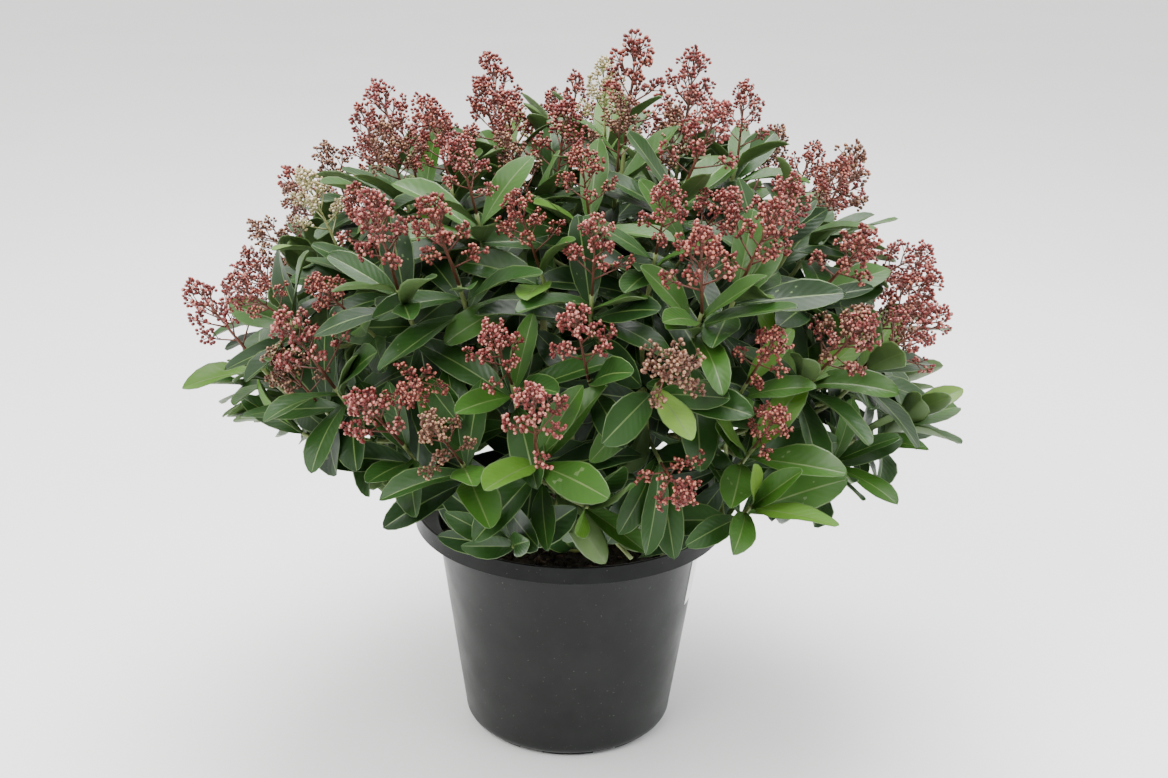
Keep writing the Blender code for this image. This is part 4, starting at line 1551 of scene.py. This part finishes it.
@dataclass
class Panicles:
    """The panicles of flower buds that top the shoots.

    A bud's shade, from 0 to 1, picks its tone: past mid_shade it takes its mood's middle tone, and
    past tip_shade the faces round its tip take the palest. The stalks are radii along a line, as
    shares of the panicle's length, and sides.
    """

    growth: Growth
    pattern_seeds: tuple[int, ...] = (31, 32, 33, 34, 35, 36)
    length: float = 0.078
    length_spread: float = 0.15
    leader_length: float = 0.098
    lean: float = 0.10
    ball_heights: tuple[float, ...] = (0.34, 0.60, 0.84)
    ball_sizes: tuple[float, ...] = (0.30, 0.24, 0.13)
    bud_stretch: float = 1.18
    mid_shade: float = 0.7
    tip_shade: float = 0.45
    tip_faces: int = 5
    stalks: tuple[tuple[tuple[float, ...], int], ...] = (
        ((0.020, 0.017, 0.013, 0.008), 6),
        ((0.0105, 0.0095, 0.0085, 0.0070), 4),
        ((0.0065, 0.0055), 3))
    seed: int = 77
    mood_seed: int = 4000
    mood_shares: Triple = (0.50, 0.86, 0.965)

    def frames(self) -> tuple[list[Shoot], Array, Array, Array]:
        """Where each panicle stands, how it is turned and how long it is.

        Returns:
            The shoots in bloom, their bases (n, 3), their axes (n, 3, 3) and their lengths (n,).
        """
        shoots = [shoot for shoot in self.growth.found if shoot.blooms]
        rng = np.random.default_rng(self.seed)
        base = np.array([shoot.whorl for shoot in shoots])
        lean = rng.normal(0, self.lean, (len(shoots), 3))
        ahead = unit(np.array([shoot.heading for shoot in shoots]) + lean)
        spin = rng.uniform(0, FULL_TURN, len(shoots))
        side = across_of(ahead)
        other = np.cross(ahead, side)
        x = side * np.cos(spin)[:, None] + other * np.sin(spin)[:, None]
        axes = np.stack((x, np.cross(ahead, x), ahead), axis=1)
        length = self.length * rng.uniform(1 - self.length_spread, 1 + self.length_spread, len(shoots))
        length[[shoot.leads for shoot in shoots]] = self.leader_length
        return shoots, base, axes, length

    def balls(self) -> tuple[Array, Array]:
        """Three balls in each panicle, for leaves to keep out of.

        Returns:
            Their middles and radii.
        """
        _, base, axes, length = self.frames()
        middles = [base + axes[:, 2] * length[:, None] * height for height in self.ball_heights]
        radii = [length * size for size in self.ball_sizes]
        return np.concatenate(middles), np.concatenate(radii)

    def mood(self, number: int) -> Mood:
        """Picks a panicle's mood by its number, mostly red, with a few cream and brown ones.

        Args:
            number: The panicle's number.

        Returns:
            The mood.
        """
        chance = random.Random(self.mood_seed + number).random()
        brick, rose, brown = self.mood_shares
        if chance < brick:
            return Mood.BRICK
        if chance < rose:
            return Mood.ROSE
        return Mood.CREAM if chance > brown else Mood.BROWN

    def build(self, tier: Tier, buds: list[Material],
              stalks: list[Material]) -> list[Piece]:
        """Makes one tier's buds and their stalks.

        Each bud is a ball of twenty faces, drawn out along its heading; each stalk a thin tube.
        Buds take one of three tones of their panicle's mood, by their own shade.

        Args:
            tier: Which masses.
            buds: Twelve bud tones, three for each mood.
            stalks: Red and green stalks.

        Returns:
            The buds' object and the stalks' object.
        """
        shoots, base, axes, length = self.frames()
        bud_batch, stalk_batch = Batch(), Batch()
        ball, ball_faces = icosahedron()
        for index, seed in enumerate(self.pattern_seeds):
            pattern = PanicleShape(seed)
            own = [n for n, shoot in enumerate(shoots)
                   if n % len(self.pattern_seeds) == index and shoot.mass in tier.value]
            if not own:
                continue
            turn, size, foot = axes[own], length[own], base[own]
            middle = self.to_world(pattern.buds[:, :3], foot, turn, size)
            heading = np.einsum("bj,njk->nbk", pattern.buds[:, 3:6], turn)
            side = across_of(heading)
            other = np.cross(heading, side)
            radius = pattern.buds[None, :, 6, None, None] * size[:, None, None, None]
            shape = (ball[:, 0, None] * side[:, :, None] + ball[:, 1, None] * other[:, :, None]
                     + ball[:, 2, None] * self.bud_stretch * heading[:, :, None])
            points = middle[:, :, None] + shape * radius
            moods = np.array([self.mood(n).value for n in own])
            shade = (pattern.shades > self.mid_shade).astype(int)
            at_tip = np.arange(len(ball_faces)) < self.tip_faces
            tipped = at_tip & (pattern.shades > self.tip_shade)[:, None]
            tone = np.where(tipped, BUD_TONES.index("tip"), shade[:, None])
            slots = moods[:, None, None] * len(BUD_TONES) + tone[None]
            total = len(own) * len(pattern.buds)
            bud_batch.add(points.reshape(-1, 3), NO_QUADS, copies(ball_faces, total, len(ball)), 0,
                          slots.ravel())
            green = (moods == Mood.CREAM.value).astype(int)
            runs = (pattern.rachis[None], pattern.limbs, pattern.pedicels)
            for lines, (radii, sides) in zip(runs, self.stalks):
                paths = self.to_world(lines.reshape(-1, 3), foot, turn, size)
                paths = paths.reshape(len(own) * len(lines), -1, 3)
                widths = np.array(radii)[None] * np.repeat(size, len(lines))[:, None]
                add_tubes(stalk_batch, paths, widths, sides, np.repeat(green, len(lines)))
        bud_piece = bud_batch.build(f"buds_{tier.label}", buds)
        stalk_piece = stalk_batch.build(f"stalks_{tier.label}", stalks)
        return [placed(bud_piece, tier.value), placed(stalk_piece, tier.value)]

    @staticmethod
    def to_world(points: Array, foot: Array, turn: Array, size: Array) -> Array:
        """A pattern's points set on each panicle."""
        return foot[:, None] + np.einsum("mj,njk->nmk", points, turn) * size[:, None, None]


def icosahedron() -> tuple[Array, Array]:
    """A ball of twenty faces with a corner at each pole, and rings of five at heights of 1/sqrt 5.

    Returns:
        Its vertices and triangles, the five round the upper pole first.
    """
    height = 1 / math.sqrt(5)
    turn = angles_round(5)
    rings = [np.stack((2 * height * np.cos(turn + shift), 2 * height * np.sin(turn + shift),
                       np.full(5, level)), -1) for shift, level in ((0.0, height), (math.pi / 5, -height))]
    corners = np.concatenate(([(0.0, 0.0, 1.0)], rings[0], rings[1], [(0.0, 0.0, -1.0)]))
    upper = np.arange(5) + 1
    lower = upper + 5
    upper_next, lower_next = np.roll(upper, -1), np.roll(lower, -1)
    pole, foot = np.full(5, 0), np.full(5, len(corners) - 1)
    faces = np.concatenate((np.stack((pole, upper, upper_next), -1),
                            np.stack((upper, lower, upper_next), -1),
                            np.stack((upper_next, lower, lower_next), -1),
                            np.stack((foot, lower_next, lower), -1)))
    return corners, faces


# ---- Pot and compost ----
@dataclass
class Pot:
    """The round nursery pot: a tapering wall, a wide rim band, a rounded foot with gaps under it.

    The band's corners are rounded by edge, with a loop of points near beside each, so that they
    shade as corners. Fillets join the band to the wall inside it and under it.
    """

    rim_radius: float = 0.162
    height: float = 0.245
    band: float = 0.018
    band_wall: float = 0.0036
    wall: float = 0.0022
    edge: float = 0.0011
    near: float = 0.0003
    fillet: float = 0.002
    under_fillet: float = 0.0030
    inside_rows: int = 8
    outside_rows: int = 14
    fine: int = 5
    coarse: int = 4
    top_radius: float = 0.1400
    bottom_radius: float = 0.1080
    foot_radius: float = 0.101
    corner: float = 0.015
    corner_sweep: Pair = (8.0, 88.0)
    corner_rows: int = 8
    foot_step: float = 0.0035
    foot_ring: float = 0.012
    foot_loop: float = 0.0001
    chamfer: float = 0.001
    floor: float = 0.004
    floor_edge: float = 0.0052
    steps: int = 288
    slots: int = 8
    slot_width: float = 0.026
    slot_height: float = 0.0042
    foot_width: float = 0.0095

    def wall_radius(self, height: float) -> float:
        """The outer radius of the tapering wall."""
        return between((self.bottom_radius, self.top_radius), height / (self.height - self.band))

    @staticmethod
    def arc(centre: Pair, radius: float, first: float, last: float,
            count: int) -> list[Pair]:
        """Points on a circular arc in the profile's plane."""
        angles = np.radians(np.linspace(first, last, count))
        return [(centre[0] + radius * math.cos(a), centre[1] + radius * math.sin(a)) for a in angles]

    def profile(self) -> Array:
        """The section of the pot, from the middle of its inner floor, over the rim and down to its foot.

        Returns:
            (radius, height) pairs, shape (n, 2).
        """
        edge, near, fillet, under = self.edge, self.near, self.fillet, self.under_fillet
        low, top = self.height - self.band, self.height - self.edge
        outer, inner = self.rim_radius, self.rim_radius - self.band_wall
        wall, foot, step = self.wall_radius(low), self.foot_radius, self.foot_step
        points = [(0.0, self.floor), (foot - self.floor, self.floor)]
        points += [(foot - self.chamfer, self.floor_edge)]
        points += [(self.wall_radius(z) - self.wall, z)
                   for z in np.linspace(self.corner, low - fillet, self.inside_rows)]
        points += self.arc((wall - self.wall + fillet, low), fillet, 180, 90, self.coarse)
        points += self.arc((inner - fillet, low + 2 * fillet), fillet, -90, 0, self.coarse)
        points += [(inner, top - near), (inner, top)]
        points += self.arc((inner + edge, top), edge, 170, 90, self.coarse)
        points += self.arc((outer - edge, top), edge, 90, 0, self.fine)
        points += [(outer, top - near), (outer, low + edge + near)]
        points += self.arc((outer - edge, low + edge), edge, 0, -90, self.fine)
        points += [(outer - edge - near, low), (wall + under + near, low)]
        points += self.arc((wall + under, low - under), under, 90, 180, self.fine)
        points += [(self.wall_radius(low - under - near), low - under - near)]
        points += [(self.wall_radius(z), z)
                   for z in np.linspace(low - 2 * under, self.corner + fillet, self.outside_rows)]
        span = self.wall_radius(self.corner) - foot
        points += [(foot + span * math.cos(a), step + (self.corner - step) * (1 - math.sin(a)))
                   for a in np.radians(np.linspace(*self.corner_sweep, self.corner_rows))]
        points += [(foot, step), (foot, self.chamfer), (foot - self.chamfer, 0.0)]
        points += [(foot - self.foot_ring, 0.0), (foot - self.foot_ring - self.foot_loop, 0.0), (0.0, 0.0)]
        return np.array(points)

    def build(self, finish: PlasticFinish, rim: PlasticFinish) -> Piece:
        """Makes the pot. Where a drain slot is, the low points of the foot are raised to its height.

        Args:
            finish: The plastic of the wall.
            rim: The duller plastic of the rim band.

        Returns:
            The object.
        """
        batch = Batch()
        profile = self.profile()
        middles = (profile[1:-2] + profile[2:-1]) / 2
        on_rim = middles[:, 0] > self.rim_radius - 2 * self.band_wall
        on_rim &= middles[:, 1] < self.height - self.edge
        add_turned(batch, profile, self.steps, on_rim.astype(int))
        points = batch.vertices[0]
        away = np.hypot(points[:, 0], points[:, 1])
        turn = np.arctan2(points[:, 1], points[:, 0]) * self.slots / FULL_TURN - 0.5
        offset = np.abs(turn - np.round(turn)) * FULL_TURN / self.slots * away
        low = (points[:, 2] < self.slot_height) & (away > self.foot_radius - self.foot_width)
        points[low & (offset < self.slot_width / 2), 2] = self.slot_height
        return placed(batch.build("pot_shell", [finish.material(), rim.material()]), ["pot"])


@dataclass
class Label:
    """A bare white plant label stuck to the pot's wall, round to the right."""

    pot: Pot
    first: float = math.radians(-23)
    last: float = math.radians(10)
    bottom: float = 0.150
    top: float = 0.221
    lift: float = 0.00025
    thickness: float = 0.0003
    rows: int = 14
    columns: int = 40

    def build(self, finish: MattFinish) -> Piece:
        """Makes the label as a thin curved sheet: radius follows the wall, lifted clear of it.

        Args:
            finish: The paper.

        Returns:
            The object.
        """
        rows, columns = self.rows, self.columns
        angle = np.linspace(self.first, self.last, columns)[None, :]
        height = np.linspace(self.bottom, self.top, rows)[:, None]
        layers = []
        for lift in (self.lift + self.thickness, self.lift):
            radius = self.pot.wall_radius(height) + lift
            layer = np.broadcast_arrays(radius * np.cos(angle), radius * np.sin(angle), height)
            layers.append(np.stack(layer, -1))
        vertices = np.concatenate([layer.reshape(-1, 3) for layer in layers])
        row, column = np.meshgrid(np.arange(rows - 1), np.arange(columns - 1), indexing="ij")
        here = (row * columns + column).ravel()
        front = np.stack((here, here + 1, here + columns + 1, here + columns), -1)
        back = front[:, ::-1] + rows * columns
        edge = np.concatenate((np.arange(columns - 1), np.arange(rows - 1) * columns + columns - 1,
                               np.arange(columns - 1, 0, -1) + (rows - 1) * columns,
                               np.arange(rows - 1, 0, -1) * columns))
        after = np.roll(edge, -1)
        rim = np.stack((edge, edge + rows * columns, after + rows * columns, after), -1)
        batch = Batch()
        batch.add(vertices, np.concatenate((front, back, rim)), NO_TRIANGLES)
        return placed(batch.build("label", [finish.material()], smooth=False), [])


@dataclass(frozen=True)
class Scatter:
    """Small lumps strewn over the compost: how many, how large, and how flat and narrow."""

    count: int
    sizes: Pair
    squash: Triple


@dataclass
class Compost:
    """The top of the compost: an uneven mound, strewn with crumbs, chips of bark and scraps of leaf.

    Its height falls by mound over a slope from level_radius on. The swells are sines of x and of
    y, multiplied, and the waves are (share of the depth, along x, along y).
    """

    pot: Pot
    top: float = 0.219
    mound: float = 0.004
    level_radius: float = 0.04
    slope: float = 0.09
    wave_depth: float = 0.0011
    swells: Pair = (71.0, 63.0)
    swell_phases: Pair = (1.0, 0.4)
    waves: tuple[Triple, ...] = ((0.6, 163.0, 121.0), (0.4, 311.0, -263.0))
    gap: float = 0.0006
    middle: float = 0.004
    rings: int = 44
    steps: int = 120
    plug_heights: tuple[float, ...] = (0.03, 0.10, 0.18)
    strewn: tuple[Scatter, ...] = (Scatter(1500, (0.0010, 0.0036), (1.0, 1.0, 0.8)),
                                   Scatter(160, (0.0030, 0.0065), (1.0, 0.45, 0.28)),
                                   Scatter(9, (0.0060, 0.0110), (1.0, 0.50, 0.08)))
    edge_room: float = 0.004
    least_area: float = 0.02
    lumpiness: Pair = (0.65, 1.25)
    tilt: float = 0.35
    rise: float = 0.25
    seed: int = 5

    def surface_height(self, x: Array, y: Array) -> Array:
        """The height of the compost: a low mound with a few sine waves across it.

        Args:
            x: Metres.
            y: Metres.

        Returns:
            Metres.
        """
        away = np.hypot(x, y)
        mound = self.top - self.mound * np.clip((away - self.level_radius) / self.slope, 0, 1)
        swell = (np.sin(x * self.swells[0] + self.swell_phases[0])
                 * np.sin(y * self.swells[1] + self.swell_phases[1]))
        waves = (share * np.sin(x * across + y * along) for share, across, along in self.waves)
        return mound + self.wave_depth * sum(waves, start=swell)

    def build(self, finish: MattFinish, bark: MattFinish, leaf: MattFinish) -> Piece:
        """Makes the compost as a disc of rings over a plug, and strews it.

        Args:
            finish: The compost's own finish.
            bark: The chips.
            leaf: The scraps of leaf.

        Returns:
            The object.
        """
        rng = np.random.default_rng(self.seed)
        angle = angles_round(self.steps)
        inset = self.pot.wall + self.gap
        radius = self.pot.wall_radius(self.top - self.mound) - inset
        rings = np.linspace(radius, self.middle, self.rings)
        x, y = rings[:, None] * np.cos(angle), rings[:, None] * np.sin(angle)
        disc = np.stack((x, y, self.surface_height(x, y)), -1)
        plug = np.array(self.plug_heights)[:, None]
        around = self.pot.wall_radius(plug) - inset
        sides = np.broadcast_arrays(around * np.cos(angle), around * np.sin(angle), plug)
        stack = np.concatenate((np.stack(sides, -1), disc)).reshape(-1, 3)
        poles = np.array([(0, 0, self.plug_heights[0]), (0, 0, self.surface_height(0.0, 0.0))])
        quads, caps = loop_faces(len(rings) + len(plug), self.steps, np.arange(self.steps))
        batch = Batch()
        batch.add(np.concatenate((stack, poles)), quads, caps)
        for slot, kind in enumerate(self.strewn):
            self.strew(batch, rng, kind, radius - self.edge_room, slot)
        obj = batch.build("compost_top", [finish.material(), bark.material(), leaf.material()])
        return placed(obj, ["compost"])

    def strew(self, batch: Batch, rng: np.random.Generator, kind: Scatter, reach: float,
              slot: int) -> None:
        """Strews lumps of one kind: balls of twenty faces, dented by chance, squashed and turned.

        Args:
            batch: Where they are added.
            rng: Source of chance.
            kind: The lumps.
            reach: How far from the axis they lie.
            slot: Their material slot.
        """
        ball, faces = icosahedron()
        away = reach * np.sqrt(rng.uniform(self.least_area, 1, kind.count))
        turn = rng.uniform(0, FULL_TURN, kind.count)
        x, y = away * np.cos(turn), away * np.sin(turn)
        sizes = rng.uniform(*kind.sizes, kind.count)
        dents = rng.uniform(*self.lumpiness, (kind.count, len(ball), 1))
        rough = ball[None] * dents * np.array(kind.squash)
        spin = rng.uniform(0, FULL_TURN, kind.count)
        tilt = rng.normal(0, self.tilt, kind.count)
        cosine, sine = np.cos(spin)[:, None], np.sin(spin)[:, None]
        lifted = rough[..., 2] + np.sin(tilt)[:, None] * rough[..., 0]
        shape = np.stack((rough[..., 0] * cosine - rough[..., 1] * sine,
                          rough[..., 0] * sine + rough[..., 1] * cosine, lifted), -1)
        height = self.surface_height(x, y) + sizes * self.rise
        points = shape * sizes[:, None, None] + np.stack((x, y, height), -1)[:, None]
        batch.add(points.reshape(-1, 3), NO_QUADS, copies(faces, kind.count, len(ball)), 0, slot)


# ---- Studio ----
def looking(place: Triple, right: Array, above: Array, back: Array) -> Matrix:
    """The matrix of something at a place, from what its own X, Y and Z point along."""
    turn = Matrix(np.stack((right, above, back), axis=1).tolist()).to_4x4()
    return Matrix.Translation(place) @ turn


@dataclass(frozen=True)
class Lamp:
    """A square area light that faces a point on the plant's axis."""

    name: str
    place: Triple
    target_height: float
    size: float
    watts: float
    colour: Colour

    def hang(self) -> None:
        """Adds the light."""
        data = bpy.data.lights.new(self.name, "AREA")
        data.size = self.size
        data.energy = self.watts
        data.color = self.colour
        obj = bpy.data.objects.new(self.name, data)
        back = unit(np.array(self.place) - UP * self.target_height)
        right = unit(np.cross(UP, back))
        obj.matrix_world = looking(self.place, right, np.cross(back, right), back)
        bpy.context.scene.collection.objects.link(obj)


@dataclass
class Studio:
    """A pale floor, soft lights and the camera.

    The camera's sizes are real ones, in metres and radians, measured from the pot's foot.
    """

    camera_place: Triple = (-0.0154, -1.6715, 0.9826)
    pitch: float = math.radians(20.16)
    yaw: float = math.radians(0.93)
    roll: float = math.radians(1.05)
    lens: float = 53.684
    sensor: float = 36.0
    floor_reach: float = 14.0
    surround: Colour = (0.90, 0.89, 0.885)
    dim: float = 0.17
    bright: float = 2.15
    fade: Pair = (-0.9, 0.1)
    lamps: tuple[Lamp, ...] = (Lamp("key", (-1.3, -1.9, 2.5), 0.35, 1.6, 105.0, (1.0, 0.985, 0.96)),
                               Lamp("fill", (1.9, -1.3, 1.7), 0.35, 1.8, 32.0, (0.97, 0.985, 1.0)),
                               Lamp("top", (0.1, 0.5, 2.8), 0.4, 2.0, 140.0, (1.0, 1.0, 1.0)))

    def build(self) -> None:
        """Sets up the floor, the world, the lights and the camera."""
        self.floor()
        self.world()
        for lamp in self.lamps:
            lamp.hang()
        self.camera()

    def floor(self) -> None:
        """A wide pale floor of one quad, with the faintest mottling."""
        batch = Batch()
        corners = np.array([(-1, -1, 0), (1, -1, 0), (1, 1, 0), (-1, 1, 0)]) * self.floor_reach
        batch.add(corners, np.array([(0, 1, 2, 3)]), NO_TRIANGLES)
        finish = MattFinish("studio_floor", (0.90, 0.915, 0.91), roughness=0.55, mottle_scale=2.0,
                            contrast=0.02, bump_scale=60.0, bump_depth=0.0001)
        batch.build("studio_floor", [finish.material()], smooth=False)

    def world(self) -> None:
        """A pale surround, darker towards the viewer's side, as in a room lit from above and behind."""
        world = bpy.data.worlds.new("studio")
        world.use_nodes = True
        tree = world.node_tree
        place = tree.nodes.new("ShaderNodeTexCoord")
        parts = tree.nodes.new("ShaderNodeSeparateXYZ")
        tree.links.new(place.outputs["Generated"], parts.inputs[0])
        fade = tree.nodes.new("ShaderNodeMapRange")
        fade.interpolation_type = "SMOOTHSTEP"
        keys = ("From Min", "From Max", "To Min", "To Max")
        for key, number in zip(keys, (*self.fade, self.dim, self.bright)):
            fade.inputs[key].default_value = number
        tree.links.new(parts.outputs["Y"], fade.inputs["Value"])
        background = tree.nodes["Background"]
        background.inputs["Color"].default_value = (*self.surround, 1.0)
        tree.links.new(fade.outputs["Result"], background.inputs["Strength"])
        bpy.context.scene.world = world

    def camera(self) -> None:
        """Places the camera: its view pitched down, yawed to the right and rolled clockwise."""
        level = math.cos(self.pitch)
        ahead = np.array((math.sin(self.yaw) * level, math.cos(self.yaw) * level, -math.sin(self.pitch)))
        right = np.array((math.cos(self.yaw), -math.sin(self.yaw), 0.0))
        above = np.cross(right, ahead)
        rolled_right = right * math.cos(self.roll) + above * math.sin(self.roll)
        rolled_above = above * math.cos(self.roll) - right * math.sin(self.roll)
        data = bpy.data.cameras.new("camera")
        data.lens = self.lens
        data.sensor_width = self.sensor
        data.sensor_fit = "HORIZONTAL"
        obj = bpy.data.objects.new("camera", data)
        obj.matrix_world = looking(self.camera_place, rolled_right, rolled_above, -ahead)
        bpy.context.scene.collection.objects.link(obj)
        bpy.context.scene.camera = obj


# The darker tones serve old leaves and, as painted shade, leaves low in the crown.
BLADES = (
    BladeFinish("blade_old_and_shaded", (0.0095, 0.0310, 0.0060), 0.38),
    BladeFinish("blade_deep", (0.0160, 0.0520, 0.0075), 0.38),
    BladeFinish("blade_mid", (0.0310, 0.0890, 0.0100), 0.39),
    BladeFinish("blade_fresh", (0.0620, 0.1460, 0.0150), 0.40),
    BladeFinish("blade_young", (0.1080, 0.2050, 0.0270), 0.42),
)
RIB = MattFinish("leaf_rib", (0.085, 0.140, 0.036), roughness=0.42, mottle_scale=80.0, contrast=0.15)
MARGIN = MattFinish("leaf_margin", (0.066, 0.118, 0.030), roughness=0.40, mottle_scale=80.0, contrast=0.15)
UNDER = MattFinish("leaf_under", (0.078, 0.136, 0.038), roughness=0.55, mottle_scale=40.0, contrast=0.15)
YOUNG_BARK = MattFinish("bark_young", (0.170, 0.215, 0.070), roughness=0.50, mottle_scale=50.0,
                        contrast=0.25)
BUD_TONES = ("deep", "mid", "tip")
BUDS = tuple(
    MattFinish(f"bud_{mood.name.lower()}_{tone}", colour, roughness=0.45, mottle_scale=500.0, contrast=0.22,
               bump_scale=900.0)
    for mood, colours in zip(Mood, (
        ((0.125, 0.014, 0.010), (0.205, 0.029, 0.019), (0.400, 0.140, 0.095)),
        ((0.150, 0.018, 0.016), (0.235, 0.040, 0.033), (0.450, 0.180, 0.140)),
        ((0.100, 0.036, 0.018), (0.155, 0.060, 0.030), (0.330, 0.180, 0.100)),
        ((0.360, 0.300, 0.150), (0.460, 0.390, 0.220), (0.660, 0.580, 0.420)),
    ))
    for tone, colour in zip(BUD_TONES, colours)
)
STALKS = (MattFinish("stalk_red", (0.120, 0.038, 0.024), roughness=0.5, mottle_scale=120.0),
          MattFinish("stalk_green", (0.260, 0.270, 0.110), roughness=0.5, mottle_scale=120.0))
LABEL_PAPER = MattFinish("label_paper", (0.93, 0.93, 0.92), roughness=0.45, mottle_scale=30.0,
                         contrast=0.02)
COMPOST = (MattFinish("compost_dark", (0.040, 0.029, 0.019), roughness=0.95, mottle_scale=160.0,
                      contrast=0.5, bump_scale=700.0, bump_depth=0.0015),
           MattFinish("compost_bark", (0.105, 0.062, 0.036), roughness=0.85, mottle_scale=120.0,
                      contrast=0.4, bump_scale=500.0, bump_depth=0.001),
           MattFinish("fallen_leaf", (0.280, 0.330, 0.080), roughness=0.5))
POT_WALL = PlasticFinish("pot_plastic_black")
POT_RIM = PlasticFinish("pot_plastic_rim", roughness=0.40, specular=0.11)


def main() -> None:
    """Builds the pot, the limbs and the crown, then the studio."""
    logging.basicConfig(level=logging.INFO, format="%(message)s")
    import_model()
    pot = Pot()
    pot.build(POT_WALL, POT_RIM)
    Label(pot).build(LABEL_PAPER)
    Compost(pot).build(*COMPOST)
    crown = Crown()
    limbs = Limbs(crown)
    limbs.lay_out()
    limbs.build(BarkFinish("bark_green_brown"))
    growth = Growth(crown)
    growth.grow(limbs.feet)
    panicles = Panicles(growth)
    leaves = Leaves(growth)
    leaves.plan_all(*panicles.balls())
    Twigs(growth).build(BarkFinish("bark_stem"), YOUNG_BARK)
    LOG.info("%d shoots, %d leaves", len(growth.found), len(leaves.plans))
    blades = [finish.material() for finish in BLADES]
    rib, margin, under = RIB.material(), MARGIN.material(), UNDER.material()
    buds = [finish.material() for finish in BUDS]
    stalks = [finish.material() for finish in STALKS]
    for tier in Tier:
        leaves.build(tier, blades, rib, margin, under)
        panicles.build(tier, buds, stalks)
    Studio().build()
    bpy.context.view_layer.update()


if __name__ == "__main__":
    main()
